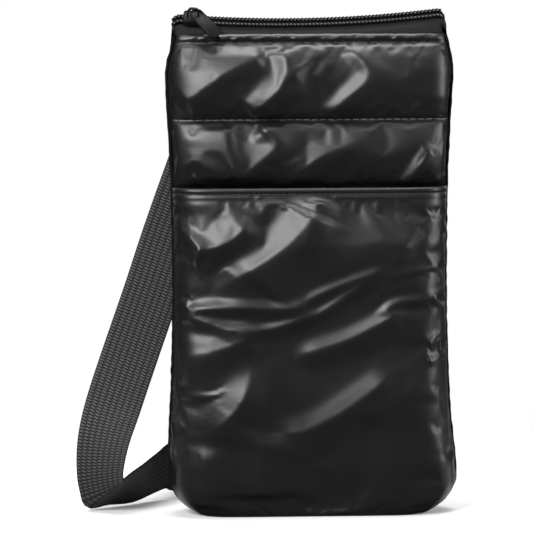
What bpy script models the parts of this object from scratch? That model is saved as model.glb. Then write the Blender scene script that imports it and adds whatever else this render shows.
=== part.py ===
# Puffer crossbody bag: a small upright zip pouch of quilted, padded panels with a slip pocket
# on the front, and an adjustable webbing strap sewn to the top of its back.
# Metres, +Z up. The front faces -Y. The origin is on the base's flat underside, in the middle of
# its width and straight below the zip.

import bpy
import bmesh
import numpy as np
from math import asin, cos, pi, radians, sin, sqrt
from mathutils import Matrix, Vector

# Overall sizes
BAG_WIDTH = 0.126            # across the fullest channel, seams included
SHELL_HEIGHT = 0.211         # floor to the turned hem under the zip
GAP = 0.0003                 # between pieces that lie on each other
FABRIC = 0.0008              # coated shell cloth
LINING = 0.0006              # inner cloth

# Outline of the bag seen from the front: (share of the height, share of the half width)
OUTLINE_SHARES = [(0.0, 0.80), (0.012, 0.865), (0.030, 0.935), (0.058, 0.985), (0.15, 1.0),
                  (0.28, 0.978), (0.45, 0.963), (0.66, 0.968), (0.76, 0.98), (0.83, 0.992),
                  (0.92, 1.0), (0.975, 0.962), (1.0, 0.943)]
CORNER_MARKS = 3             # the outline's marks after the first that round its lower corners

# Seams and layers, front to back
CHANNEL_SHARE = 0.1588       # from one quilting seam to the next, as a share of the shell's height
POCKET_MOUTH_SHARE = 0.6825  # height of the slip pocket's upper edge, the same way
HEM_HEIGHT = 0.0040          # the zip hem's topstitch lies this far below its edge
CHANNEL_HEIGHT = CHANNEL_SHARE * SHELL_HEIGHT
TOP_SEAM_Z = SHELL_HEIGHT - HEM_HEIGHT
QUILT_SEAM_Z = TOP_SEAM_Z - CHANNEL_HEIGHT
POCKET_MOUTH_Z = POCKET_MOUTH_SHARE * SHELL_HEIGHT
FRONT_QUILT_DEPTH = 0.0068   # a front seam, before the middle plane
FRONT_PUFF = 0.0060          # how far a front channel swells past its seams
FRONT_HEM_DEPTH = 0.0046
FRONT_LINING_Y = -0.0033     # inner face of the front lining
MAIN_ROOM = 0.0096           # depth of the main compartment
BACK_LINING_Y = FRONT_LINING_Y + MAIN_ROOM
BACK_QUILT_DEPTH = 0.0102
BACK_PUFF = 0.0058
BACK_HEM_DEPTH = 0.0058
BACK_CHANNELS = 6
POCKET_ROOM = 0.0046         # depth of the slip pocket
POCKET_DEPTH = 0.0188        # fullest face of the pocket, before the middle plane
POCKET_LIP_DEPTH = 0.0160
POCKET_FOOT_DEPTH = 0.0154
PAD_INSET = 0.0028           # the panel behind the pocket has its wadding end this far below the mouth
PAD_EDGE = 0.0006            # wadding is at least this thick
PAD_SEAM_COLUMNS = 2         # wadding is trimmed out of the side seams by this many shell columns
LINING_INSET = 0.0140        # the linings stop short of the outline by this much
LINING_TOP_GAP = 0.0070      # below the topstitch
SHOULDER_POWER = 10          # how square the panels' side shoulders are
HEM_WIDTH_SHARE = 0.80       # of the pocket's mouth, where its turned edge is wide
BACK_HEM_RISE = 0.0012       # the back's hem stands this much above the front's

# Numbers of faces in the panels
SHELL_COLUMNS = 12
CHANNEL_ROWS = 8
POCKET_ROWS = 12
BACK_CHANNEL_ROWS = 6
LINING_COLUMNS = 8
LINING_ROWS = 12
HEM_COLUMNS = 12
SEAM_ROWS = 13

# Side and bottom seams
SEAM_TAPE = 0.0015
SEAM_TAPE_DEPTH = 0.0046
SEAM_Y = 0.0012              # plane in which the front and back panels are sewn together
BASE_THICKNESS = 0.0012
BASE_DEPTH_BACK = 0.0114
BASE_CORNER = 0.0030

# Zip: its chain bows down in the middle, on a circle that stands on edge above the bag
ZIP_RADIUS = 0.560
ZIP_LOW_X = -0.010
ZIP_STAND = 0.0046           # middle of the chain at its lowest point, above the hem
ZIP_LOW_Z = SHELL_HEIGHT + ZIP_STAND
ZIP_HALF_LENGTH = 0.0560
ZIP_TILT = radians(40)       # the chain's face leans to the front
TAPE = 0.0005
TAPE_DROP = 0.0100           # from the chain down to the tape's sewn edge
TAPE_BEND_DROP = 0.0050
TAPE_SHORT = 0.0022          # the tapes stop this much inside the chain's ends
COIL_PITCH = 0.00165
COIL_WIDTH = 0.0023
COIL_HALF_GAP = 0.0007       # room for the slider's divider between the two coils
COIL_LOW = -0.0010
COIL_HIGH = 0.0012
COIL_VALLEY_SHARE = 0.72
TAPE_EDGE = 0.00005          # the tape's edge stands this far outside the coil's inner face
TAPE_SECTIONS = 18
WELD = 0.00001               # points nearer than this are one

# Slider and pull tab
SLIDER_X = -0.0508
SLIDER_END_X = 0.0480
SLIDER_LENGTH = 0.0086
SLIDER_WIDTH = 0.0072
SLIDER_PLATE = 0.0009
SLIDER_LIP = 0.0006
SLIDER_FOOT_WIDTH = 0.0038
DIVIDER = 0.0008
DIVIDER_LENGTH = 0.0018
BRIDGE_WIRE = 0.00050        # radius
BRIDGE_HALF_LENGTH = 0.0022
BRIDGE_HEIGHT = 0.0041
BRIDGE_CORNER = 0.0014
TAB_PIVOT_HEIGHT = 0.0027    # above the slider's top plate
TAB_LENGTH = 0.0158          # from the pivot to the tip
TAB_WIDTH = 0.0066
TAB_THICKNESS = 0.0009
TAB_EYE_WIDTH = 0.0047
TAB_EYE_LENGTH = 0.0034
TAB_YAW = radians(42.7)
TAB_DROP = radians(17.5)
TAB_TIP_SHARE = 0.45         # corner radii as shares of the tab's half width
TAB_HEAD_SHARE = 0.80

# Strap: 25 mm webbing from a ring at the right, down and to and fro behind the bag, and up again
WEBBING_WIDTH = 0.0250
WEBBING = 0.0014
ANCHOR_INSET = 0.0300        # both ends of the strap are held this far inside the outline
ANCHOR_X = BAG_WIDTH / 2 - ANCHOR_INSET
RING_WIRE = 0.0011           # radius
RING_HEIGHT = 0.0080
RING_DROP = 0.0230           # from the hem down to the ring's lower bar
RING_LOW_Z = SHELL_HEIGHT - RING_DROP
RING_Y = 0.0223
RING_CORNER = 0.0022
TURN_RADIUS = RING_WIRE + GAP + WEBBING / 2
ANCHOR_TOP_Z = SHELL_HEIGHT - HEM_HEIGHT / 8
STRAP_END_Z = 0.0880         # the doubled part's sewn end
ADJUSTER_RISE = 0.0140       # the adjuster rests this far above it
ADJUSTER_Z = STRAP_END_Z + ADJUSTER_RISE
ADJUSTER_BAR = 0.0022
ADJUSTER_BAR_HEIGHT = 0.0026
ADJUSTER_PITCH = 0.0078      # from one bar to the next
ADJUSTER_RAIL = 0.0016
RUN_HALF_LENGTH = 0.0500     # the runs behind the bag
RUN_PITCH = 0.0105
RUN_FIRST_Y = 0.0360
RUNS = 5
FALL_STEP = 0.007            # between the sections of the webbing's free parts
RISE_STEP = 0.008
DOUBLED_PARTS = 8            # numbers of sections along the straight and turned parts
RUN_PARTS = 7
TURN_PARTS = 7
RING_TURN_PARTS = 6
WEBBING_RISE = 0.0075        # the anchor tab slopes over this height above the ring
ANCHOR_HEM_Y = BACK_HEM_DEPTH + GAP + WEBBING / 2

# Worked out from the sizes above
BASE_TOP = BASE_THICKNESS + GAP
CORNER_ROWS = [share * SHELL_HEIGHT for share, _ in OUTLINE_SHARES[1:CORNER_MARKS + 1]]
SHELL_EDGE = SEAM_TAPE + GAP             # the shells stop this far inside the outline
POCKET_BACK_Y = -(FRONT_QUILT_DEPTH + POCKET_ROOM)
LINING_TOP_Z = TOP_SEAM_Z - LINING_TOP_GAP
BACK_SEAMS = [BASE_TOP] + [TOP_SEAM_Z - step * CHANNEL_HEIGHT for step in range(BACK_CHANNELS - 1, -1, -1)]
ZIP_CENTRE = Vector((ZIP_LOW_X, 0, ZIP_LOW_Z + ZIP_RADIUS))
ACROSS = Vector((0, cos(ZIP_TILT), sin(ZIP_TILT)))      # across the chain, to the back and up
FACING = Vector((0, -sin(ZIP_TILT), cos(ZIP_TILT)))     # square to the chain's face
PLATE_LOW = COIL_HIGH + GAP              # the slider's plates
PLATE_TOP = PLATE_LOW + SLIDER_PLATE
FOOT_TOP = COIL_LOW - GAP - TAPE - GAP

BAG = bpy.data.collections.new("puffer_crossbody_bag")
GUIDES = bpy.data.collections.new("guides")


def clear_scene():
    for obj in list(bpy.data.objects):
        bpy.data.objects.remove(obj, do_unlink=True)
    bpy.context.scene.collection.children.link(BAG)
    bpy.context.scene.collection.children.link(GUIDES)


def make_material(name, colour, roughness, metallic=0.0):
    material = bpy.data.materials.new(name)
    material.use_nodes = True
    shader = material.node_tree.nodes["Principled BSDF"]
    shader.inputs["Base Color"].default_value = (*colour, 1.0)
    shader.inputs["Roughness"].default_value = roughness
    shader.inputs["Metallic"].default_value = metallic
    return material


SHELL_CLOTH = make_material("black_coated_nylon", (0.012, 0.012, 0.014), 0.32)
WADDING = make_material("white_polyester_wadding", (0.80, 0.80, 0.78), 0.95)
LINING_CLOTH = make_material("grey_lining", (0.05, 0.05, 0.055), 0.75)
SEAM_CLOTH = make_material("black_seam_tape", (0.008, 0.008, 0.009), 0.60)
ZIP_CLOTH = make_material("black_zip_tape", (0.020, 0.020, 0.022), 0.85)
COIL_NYLON = make_material("black_nylon_coil", (0.030, 0.030, 0.033), 0.40)
BLACK_METAL = make_material("black_painted_metal", (0.018, 0.018, 0.020), 0.45, 0.5)
WEBBING_CLOTH = make_material("charcoal_ribbed_webbing", (0.030, 0.030, 0.034), 0.70)
BLACK_PLASTIC = make_material("black_moulded_plastic", (0.015, 0.015, 0.017), 0.50)


def add_mesh_object(name, bm, material, smooth_angle=radians(40)):
    bmesh.ops.recalc_face_normals(bm, faces=bm.faces[:])
    mesh = bpy.data.meshes.new(name)
    bm.to_mesh(mesh)
    bm.free()
    mesh.materials.append(material)
    mesh.shade_smooth()
    mesh.set_sharp_from_angle(angle=smooth_angle)
    obj = bpy.data.objects.new(name, mesh)
    BAG.objects.link(obj)
    return obj


def slab(name, columns, rows, place, material):
    """A closed slab: a flat grid, extruded once. place(column, row, is_far) puts each point."""
    bm = bmesh.new()
    across = len(columns) - 1
    along = len(rows) - 1
    bmesh.ops.create_grid(bm, x_segments=across, y_segments=along, size=1)
    far = bmesh.ops.extrude_face_region(bm, geom=bm.faces[:], use_keep_orig=True)
    for element in far["geom"]:
        if isinstance(element, bmesh.types.BMVert):
            element.co.z = 1
    for vert in bm.verts:
        column = columns[round((vert.co.x + 1) / 2 * across)]
        row = rows[round((vert.co.y + 1) / 2 * along)]
        vert.co = place(column, row, vert.co.z > 0.5)
    return add_mesh_object(name, bm, material)


def loft(name, sections, material):
    """A closed skin over a row of sections, each a ring of as many points."""
    bm = bmesh.new()
    rings = [[bm.verts.new(point) for point in section] for section in sections]
    for ring, following in zip(rings, rings[1:]):
        for side in range(len(ring)):
            after = (side + 1) % len(ring)
            bm.faces.new((ring[side], ring[after], following[after], following[side]))
    bm.faces.new(rings[0][::-1])
    bm.faces.new(rings[-1])
    return add_mesh_object(name, bm, material)


# Panels

def spread(count):
    """Places from -1 to 1 that crowd towards both ends, where the panels turn the corner."""
    return [sin(pi / 2 * share) for share in np.linspace(-1, 1, count + 1)]


def crowded(low, high, count):
    """Heights from low to high that crowd towards both ends, where a channel curves in."""
    return [low + (high - low) * (1 - cos(pi * share)) / 2 for share in np.linspace(0, 1, count + 1)]


def half_width(z):
    """Half the outline's width at height z."""
    heights = [share * SHELL_HEIGHT for share, _ in OUTLINE_SHARES]
    widths = [share * BAG_WIDTH / 2 for _, share in OUTLINE_SHARES]
    return float(np.interp(z, heights, widths))


def shoulder(s):
    """1 over the middle of a panel, falling to 0 at its side seams (s = -1 and 1)."""
    return sqrt(max(0.0, 1 - abs(s) ** SHOULDER_POWER))


def crown(z, low, high):
    """1 in the middle of a channel, 0 at its two seams, round between them."""
    share = min(max((z - low) / (high - low), 0.0), 1.0)
    return sqrt(4 * share * (1 - share))


def front_depth(z):
    """Depth of the front shell's face in mid width: two channels over a flat, hidden panel."""
    base = float(np.interp(z, [QUILT_SEAM_Z, TOP_SEAM_Z], [FRONT_QUILT_DEPTH, FRONT_HEM_DEPTH]))
    if z >= QUILT_SEAM_Z:
        return base + FRONT_PUFF * crown(z, QUILT_SEAM_Z, TOP_SEAM_Z)
    return base + FRONT_PUFF * crown(z, POCKET_MOUTH_Z, QUILT_SEAM_Z)


def back_depth(z):
    """Depth of the back shell's face in mid width: a stack of channels."""
    base = float(np.interp(z, [QUILT_SEAM_Z, TOP_SEAM_Z], [BACK_QUILT_DEPTH, BACK_HEM_DEPTH]))
    for low, high in zip(BACK_SEAMS, BACK_SEAMS[1:]):
        if low <= z <= high:
            return base + BACK_PUFF * crown(z, low, high)
    return base


def pocket_depth(z):
    """Depth of the pocket's face in mid width: full in the middle, drawn in at mouth and foot."""
    share = (z - BASE_TOP) / (POCKET_MOUTH_Z - BASE_TOP)
    edge = POCKET_FOOT_DEPTH + (POCKET_LIP_DEPTH - POCKET_FOOT_DEPTH) * share
    return edge + (POCKET_DEPTH - edge) * crown(z, BASE_TOP, POCKET_MOUTH_Z)


def shell_inset(z):
    """How far the front shell stops inside the outline: it steps in where the pocket covers it."""
    step = FABRIC + GAP
    return SHELL_EDGE + step * float(np.interp(z, [POCKET_MOUTH_Z, POCKET_MOUTH_Z + 2 * step], [1, 0]))


def panel_point(s, z, depth, inset, edge_y, inward, side):
    """A point of a panel's face, moved inward by a thickness. side is -1 in front, 1 behind."""
    bend = shoulder(s)
    x = s * (half_width(z) - inset - inward)
    y = side * (depth - inward) * bend + edge_y * (1 - bend)
    return Vector((x, y, z))


def make_shell(name, rows, depth, inset, edge_y, side):
    def place(s, z, is_inner):
        inward = FABRIC if is_inner else 0.0
        return panel_point(s, z, depth(z), inset(z), edge_y, inward, side)
    slab(name, spread(SHELL_COLUMNS), rows, place, SHELL_CLOTH)


def make_pad(name, rows, depth, inset, edge_y, side, plane):
    """Wadding between a shell's inner face and the plane of its lining, on the shell's own grid.

    It is trimmed out of the side seams, so it has a flat back and doesn't bend round the sides.
    """
    columns = spread(SHELL_COLUMNS)[PAD_SEAM_COLUMNS:-PAD_SEAM_COLUMNS]
    under = FABRIC + GAP
    edge = edge_y + side * PAD_EDGE

    def place(s, z, is_flat):
        point = panel_point(s, z, depth(z), inset(z), edge, under, side)
        if is_flat:
            point.y = side * min(side * plane, side * point.y - PAD_EDGE)
        return point
    slab(name, columns, rows, place, WADDING)


def make_flat_cloth(name, outer_y, thickness, low, high, inset, material):
    def place(s, z, is_far):
        return Vector((s * (half_width(z) - inset), outer_y + (thickness if is_far else 0.0), z))
    slab(name, np.linspace(-1, 1, LINING_COLUMNS + 1), crowded(low, high, LINING_ROWS), place, material)


def plain_inset(z):
    """The other shells stop the same way inside the outline at every height."""
    return SHELL_EDGE


def make_front():
    panel_rows = [BASE_TOP, *CORNER_ROWS, POCKET_MOUTH_Z / 2, POCKET_MOUTH_Z - PAD_INSET]
    lower_rows = crowded(POCKET_MOUTH_Z, QUILT_SEAM_Z, CHANNEL_ROWS)
    upper_rows = crowded(QUILT_SEAM_Z, TOP_SEAM_Z, CHANNEL_ROWS)
    edge_y = SEAM_Y - GAP
    make_shell("front_shell", panel_rows + lower_rows[:-1] + upper_rows + [SHELL_HEIGHT],
               front_depth, shell_inset, edge_y, -1)

    # A channel's wadding stops one row short of its two seams
    plane = FRONT_LINING_Y - LINING - GAP
    for number, rows in enumerate((upper_rows[1:-1], lower_rows[1:-1], panel_rows), start=1):
        make_pad(f"front_padding_{number}", rows, front_depth, shell_inset, edge_y, -1, plane)
    make_flat_cloth("front_lining", FRONT_LINING_Y - LINING, LINING, BASE_TOP, LINING_TOP_Z,
                    LINING_INSET, LINING_CLOTH)


def make_pocket():
    edge_y = SEAM_Y - GAP - FABRIC - GAP - FABRIC
    hem_top = POCKET_MOUTH_Z - FABRIC - GAP
    rows = sorted(crowded(BASE_TOP, hem_top, POCKET_ROWS) + CORNER_ROWS)
    make_shell("pocket_shell", rows + [POCKET_MOUTH_Z], pocket_depth, plain_inset, edge_y, -1)
    plane = POCKET_BACK_Y - LINING - GAP
    make_pad("pocket_padding", rows, pocket_depth, plain_inset, edge_y, -1, plane)
    make_flat_cloth("pocket_lining", POCKET_BACK_Y - LINING, LINING, BASE_TOP, hem_top,
                    LINING_INSET, LINING_CLOTH)

    # The turned edge of the mouth closes the pocket's wall from shell to lining
    def place_hem(s, share, is_top):
        z = POCKET_MOUTH_Z if is_top else POCKET_MOUTH_Z - FABRIC
        x = s * HEM_WIDTH_SHARE * half_width(z)
        outer = -(POCKET_LIP_DEPTH - FABRIC - 2 * GAP) * shoulder(x / (half_width(z) - SHELL_EDGE - FABRIC))
        return Vector((x, outer + (POCKET_BACK_Y - outer) * share, z))
    slab("pocket_hem", np.linspace(-1, 1, HEM_COLUMNS + 1), [0.0, 0.5, 1.0], place_hem, SHELL_CLOTH)


def make_back():
    channels = [crowded(low, high, BACK_CHANNEL_ROWS) for low, high in zip(BACK_SEAMS, BACK_SEAMS[1:])]
    channels[0] = sorted(channels[0] + CORNER_ROWS)
    rows = [BACK_SEAMS[0]] + [z for channel in channels for z in channel[1:]]
    edge_y = SEAM_Y
    make_shell("back_shell", rows + [SHELL_HEIGHT + BACK_HEM_RISE], back_depth, plain_inset, edge_y, 1)
    plane = BACK_LINING_Y + LINING + GAP
    for number, channel in enumerate(reversed(channels), start=1):
        make_pad(f"back_padding_{number}", channel[1:-1], back_depth, plain_inset, edge_y, 1, plane)
    make_flat_cloth("back_lining", BACK_LINING_Y, LINING, BASE_TOP, LINING_TOP_Z,
                    LINING_INSET, LINING_CLOTH)


def make_side_seams():
    heights = [BASE_TOP, *CORNER_ROWS[:-1]] + list(np.linspace(CORNER_ROWS[-1], TOP_SEAM_Z, SEAM_ROWS + 1))
    for name, hand in (("side_seam_left", -1), ("side_seam_right", 1)):
        def place(share, z, is_outer, hand=hand):
            x = half_width(z) - (0.0 if is_outer else SEAM_TAPE)
            return Vector((hand * x, SEAM_Y + (share - 0.5) * SEAM_TAPE_DEPTH, z))
        slab(name, [0.0, 0.5, 1.0], heights, place, SEAM_CLOTH)


def make_base():
    width = 2 * (half_width(0.0) - SHELL_EDGE)
    depth = POCKET_FOOT_DEPTH + BASE_DEPTH_BACK
    bpy.ops.mesh.primitive_cube_add(size=1)
    base = bpy.context.active_object
    base.name = "base_panel"
    base.data.name = "base_panel"
    base.data.transform(Matrix.Diagonal((width, depth, BASE_THICKNESS, 1)))
    base.location = (0, (BASE_DEPTH_BACK - POCKET_FOOT_DEPTH) / 2, BASE_THICKNESS / 2)
    corners = base.modifiers.new("rounded_corners", "BEVEL")
    corners.width = BASE_CORNER
    corners.segments = 3
    corners.affect = "EDGES"
    corners.limit_method = "WEIGHT"
    weights = base.data.attributes.new("bevel_weight_edge", "FLOAT", "EDGE")
    for edge in base.data.edges:
        low, high = (base.data.vertices[index].co for index in edge.vertices)
        weights.data[edge.index].value = 1.0 if abs(low.z - high.z) > BASE_THICKNESS / 2 else 0.0
    base.data.materials.append(SHELL_CLOTH)
    move_to_bag(base)


def move_to_bag(obj):
    for collection in list(obj.users_collection):
        collection.objects.unlink(obj)
    BAG.objects.link(obj)


# Zip

def zip_angle(x):
    return asin((x - ZIP_LOW_X) / ZIP_RADIUS)


def zip_matrix(angle):
    """The chain's own frame: x along it, y across it, z out of its face."""
    turn = Matrix.Rotation(-angle, 4, "Y")
    to_arc = Matrix.Translation(ZIP_CENTRE) @ turn @ Matrix.Translation((0, 0, -ZIP_RADIUS))
    lean = Matrix((Vector((1, 0, 0)), ACROSS, FACING)).transposed().to_4x4()
    return to_arc @ lean


def chain_place(y, height):
    """A place in the cross-section, from depth and height to across and out of the chain's face."""
    point = Vector((0, y, height))
    return point.dot(ACROSS), point.dot(FACING)


def make_tape(name, profile, hanging, hand):
    """A strip of tape that follows the chain, with its cross-section as a line of points.

    Its hanging points are drawn in to the side seams with the shell that it hangs inside.
    """
    end = ZIP_HALF_LENGTH - TAPE_SHORT
    angles = np.linspace(zip_angle(-end), zip_angle(end), TAPE_SECTIONS + 1)
    points = [Vector(point) for point in profile]
    steps = [after - before for before, after in zip(points, points[1:])]
    steps = [steps[0]] + [first.normalized() + second.normalized() for first, second in
                          zip(steps, steps[1:])] + [steps[-1]]
    sides = [Vector((-step.y, step.x)).normalized() * TAPE / 2 for step in steps]

    reach = half_width(SHELL_HEIGHT) - SHELL_EDGE - 4 * FABRIC
    seam_y = SEAM_Y + hand * TAPE

    def place(angle, number, is_far):
        spot = points[number] + (sides[number] if is_far else -sides[number])
        point = zip_matrix(angle) @ Vector((0, spot.x, spot.y))
        if number in hanging:
            bend = shoulder(min(abs(point.x) / reach, 1.0))
            middle = zip_matrix(angle) @ Vector((0, points[number].x, points[number].y))
            point.y += (seam_y - middle.y) * (1 - bend)
        return point
    slab(name, list(angles), list(range(len(points))), place, ZIP_CLOTH)


def make_coil(name, hand):
    """One side's coil of teeth, as a strip that is thick at each tooth and thin between."""
    length = ZIP_RADIUS * (zip_angle(ZIP_HALF_LENGTH) - zip_angle(-ZIP_HALF_LENGTH))
    teeth = int(length / COIL_PITCH)
    start = zip_angle(-ZIP_HALF_LENGTH)
    inner = COIL_HALF_GAP
    outer = COIL_HALF_GAP + COIL_WIDTH
    middle = (COIL_LOW + COIL_HIGH) / 2
    sections = []
    for step in range(2 * teeth + 1):
        frame = zip_matrix(start + step * COIL_PITCH / 2 / ZIP_RADIUS)
        share = 1.0 if step % 2 else COIL_VALLEY_SHARE
        low = middle + (COIL_LOW - middle) * share
        high = middle + (COIL_HIGH - middle) * share
        far = inner + (outer - inner) * share
        corners = [(inner, low), (far, low), (far, high), (inner, high)]
        sections.append([frame @ Vector((0, hand * across, out)) for across, out in corners])
    loft(name, sections, COIL_NYLON)


def make_zip():
    under = COIL_LOW - GAP - TAPE / 2
    edge = COIL_HALF_GAP + TAPE_EDGE
    outer = COIL_HALF_GAP + COIL_WIDTH
    front_y = -(FRONT_HEM_DEPTH - FABRIC - GAP - TAPE / 2)
    back_y = BACK_HEM_DEPTH - FABRIC - GAP - TAPE / 2
    back_bend = TAPE_BEND_DROP / 3
    back_fall = TAPE_BEND_DROP - TAPE / 2
    make_tape("zip_tape_front", [chain_place(front_y, -TAPE_DROP), chain_place(front_y, -TAPE_BEND_DROP),
                                 (-outer, under), (-edge, under)], (0, 1), -1)
    make_tape("zip_tape_back", [(edge, under), (outer, under), chain_place(back_y, -back_bend),
                                chain_place(back_y, -back_fall), chain_place(back_y, -TAPE_DROP)],
              (3, 4), 1)
    make_coil("zip_coil_front", -1)
    make_coil("zip_coil_back", 1)


def box_mesh(name, low, high):
    """A plain box between two corners, as a guide for a Boolean."""
    bpy.ops.mesh.primitive_cube_add(size=1)
    box = bpy.context.active_object
    box.name = name
    size = Vector(high) - Vector(low)
    middle = (Vector(high) + Vector(low)) / 2
    box.data.transform(Matrix.Translation(middle) @ Matrix.Diagonal((*size, 1)))
    hide_guide(box)
    return box


def hide_guide(obj):
    for collection in list(obj.users_collection):
        collection.objects.unlink(obj)
    GUIDES.objects.link(obj)
    obj.hide_render = True
    obj.display_type = "WIRE"


def join_solids(body, others):
    """Boolean unions, so that a piece made of several shapes is one solid."""
    for other in others:
        union = body.modifiers.new(other.name, "BOOLEAN")
        union.operation = "UNION"
        union.solver = "EXACT"
        union.object = other


def curve_mesh(name, points, radius, cyclic=False):
    """A wire along points, made a mesh with its caps welded."""
    curve = bpy.data.curves.new(name, "CURVE")
    curve.dimensions = "3D"
    curve.bevel_depth = radius
    curve.bevel_resolution = 2
    curve.use_fill_caps = True
    spline = curve.splines.new("POLY")
    spline.points.add(len(points) - 1)
    for spot, point in zip(spline.points, points):
        spot.co = (*point, 1)
    spline.use_cyclic_u = cyclic
    wire = bpy.data.objects.new(name, curve)
    BAG.objects.link(wire)
    bpy.context.view_layer.update()
    evaluated = wire.evaluated_get(bpy.context.evaluated_depsgraph_get())
    mesh = bpy.data.meshes.new_from_object(evaluated)
    bpy.data.objects.remove(wire, do_unlink=True)
    bm = bmesh.new()
    bm.from_mesh(mesh)
    bmesh.ops.remove_doubles(bm, verts=bm.verts[:], dist=WELD)
    bpy.data.meshes.remove(mesh)
    return bm


def rounded_corner(centre, start, radius, steps, x_axis, y_axis):
    """A quarter circle from the angle start, in the plane of two axes."""
    angles = [start + pi / 2 * step / steps for step in range(steps + 1)]
    return [centre + radius * (cos(angle) * x_axis + sin(angle) * y_axis) for angle in angles]


SLIDER_ANGLE = zip_angle(SLIDER_X)


def make_slider_hinge():
    """An empty on the slider's joint axis, which is the zip circle's own."""
    hinge = bpy.data.objects.new("slider_hinge", None)
    hinge.matrix_world = Matrix.Translation(ZIP_CENTRE) @ zip_matrix(SLIDER_ANGLE).to_3x3().to_4x4()
    BAG.objects.link(hinge)
    return hinge


def hang_on_hinge(obj, hinge):
    """Parents a piece that is drawn in the chain's own frame to the empty on the axis."""
    obj.parent = hinge
    obj.matrix_basis = hinge.matrix_world.inverted() @ zip_matrix(SLIDER_ANGLE)


def make_slider(hinge):
    half_length = SLIDER_LENGTH / 2
    half = SLIDER_WIDTH / 2
    body = box_mesh("slider_body", (-half_length, -half, PLATE_LOW), (half_length, half, PLATE_TOP))
    lip_inner = COIL_HALF_GAP + COIL_WIDTH + GAP
    lip_low = COIL_LOW + GAP
    lips = [box_mesh("lip_front", (-half_length, -lip_inner - SLIDER_LIP, lip_low),
                     (half_length, -lip_inner, PLATE_TOP)),
            box_mesh("lip_back", (-half_length, lip_inner, lip_low),
                     (half_length, lip_inner + SLIDER_LIP, PLATE_TOP))]
    foot_half = SLIDER_FOOT_WIDTH / 2
    foot = box_mesh("foot", (-half_length, -foot_half, FOOT_TOP - SLIDER_PLATE),
                    (half_length, foot_half, FOOT_TOP))
    inside = SLIDER_PLATE / 2
    divider = box_mesh("divider", (-half_length + inside, -DIVIDER / 2, FOOT_TOP - inside),
                       (-half_length + inside + DIVIDER_LENGTH, DIVIDER / 2, PLATE_LOW + inside))

    along = Vector((1, 0, 0))
    out = Vector((0, 0, 1))
    crown_centre = PLATE_TOP + BRIDGE_HEIGHT - BRIDGE_CORNER
    shoulder_x = BRIDGE_HALF_LENGTH - BRIDGE_CORNER
    points = [Vector((BRIDGE_HALF_LENGTH, 0, PLATE_TOP - inside))]
    points += rounded_corner(Vector((shoulder_x, 0, crown_centre)), 0, BRIDGE_CORNER, 4, along, out)
    points += rounded_corner(Vector((-shoulder_x, 0, crown_centre)), pi / 2, BRIDGE_CORNER, 4, along, out)
    points += [Vector((-BRIDGE_HALF_LENGTH, 0, PLATE_TOP - inside))]
    bridge = add_mesh_object("bridge", curve_mesh("bridge", points, BRIDGE_WIRE), BLACK_METAL)
    hide_guide(bridge)

    move_to_bag(body)
    body.hide_render = False
    body.display_type = "TEXTURED"
    body.data.materials.append(BLACK_METAL)
    for piece in [body, bridge, foot, divider] + lips:
        hang_on_hinge(piece, hinge)
    join_solids(body, lips + [foot, divider, bridge])


def make_pull_tab():
    """A flat tab with an eye that hooks round the bridge, draped to the right and down."""
    wide = Vector((sin(TAB_YAW), cos(TAB_YAW), 0))
    down = Vector((cos(TAB_DROP) * cos(TAB_YAW), -cos(TAB_DROP) * sin(TAB_YAW), -sin(TAB_DROP)))
    face = down.cross(wide)
    pivot = Vector((0, 0, PLATE_TOP + TAB_PIVOT_HEIGHT))

    curve = bpy.data.curves.new("pull_tab", "CURVE")
    curve.dimensions = "2D"
    curve.fill_mode = "BOTH"
    curve.extrude = TAB_THICKNESS / 2
    x_axis = Vector((1, 0, 0))
    y_axis = Vector((0, 1, 0))
    half = TAB_WIDTH / 2
    rail = (TAB_WIDTH - TAB_EYE_WIDTH) / 2
    tip_radius = half * TAB_TIP_SHARE
    head_radius = half * TAB_HEAD_SHARE
    bar = TAB_THICKNESS / 2
    outer = []
    for centre, start, radius in (
            (Vector((TAB_LENGTH - tip_radius, half - tip_radius, 0)), 0, tip_radius),
            (Vector((-bar + head_radius, half - head_radius, 0)), pi / 2, head_radius),
            (Vector((-bar + head_radius, -half + head_radius, 0)), pi, head_radius),
            (Vector((TAB_LENGTH - tip_radius, -half + tip_radius, 0)), 3 * pi / 2, tip_radius)):
        outer += rounded_corner(centre, start, radius, 4, x_axis, y_axis)
    eye_half = half - rail
    eye = []
    for centre, start in (
            (Vector((bar + TAB_EYE_LENGTH - rail, eye_half - rail, 0)), 0),
            (Vector((bar + rail, eye_half - rail, 0)), pi / 2),
            (Vector((bar + rail, -eye_half + rail, 0)), pi),
            (Vector((bar + TAB_EYE_LENGTH - rail, -eye_half + rail, 0)), 3 * pi / 2)):
        eye += rounded_corner(centre, start, rail, 2, x_axis, y_axis)
    for outline in (outer, eye):
        spline = curve.splines.new("POLY")
        spline.points.add(len(outline) - 1)
        for spot, point in zip(spline.points, outline):
            spot.co = (*point, 1)
        spline.use_cyclic_u = True
    flat = bpy.data.objects.new("pull_tab_outline", curve)
    BAG.objects.link(flat)
    bpy.context.view_layer.update()
    mesh = bpy.data.meshes.new_from_object(flat.evaluated_get(bpy.context.evaluated_depsgraph_get()))
    bpy.data.objects.remove(flat, do_unlink=True)
    bm = bmesh.new()
    bm.from_mesh(mesh)
    bmesh.ops.remove_doubles(bm, verts=bm.verts[:], dist=WELD)
    tab = add_mesh_object("pull_tab", bm, BLACK_METAL)
    turn = Matrix((down, wide, -face)).transposed().to_4x4()
    tab.matrix_world = zip_matrix(SLIDER_ANGLE) @ Matrix.Translation(pivot) @ turn


# Strap

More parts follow.
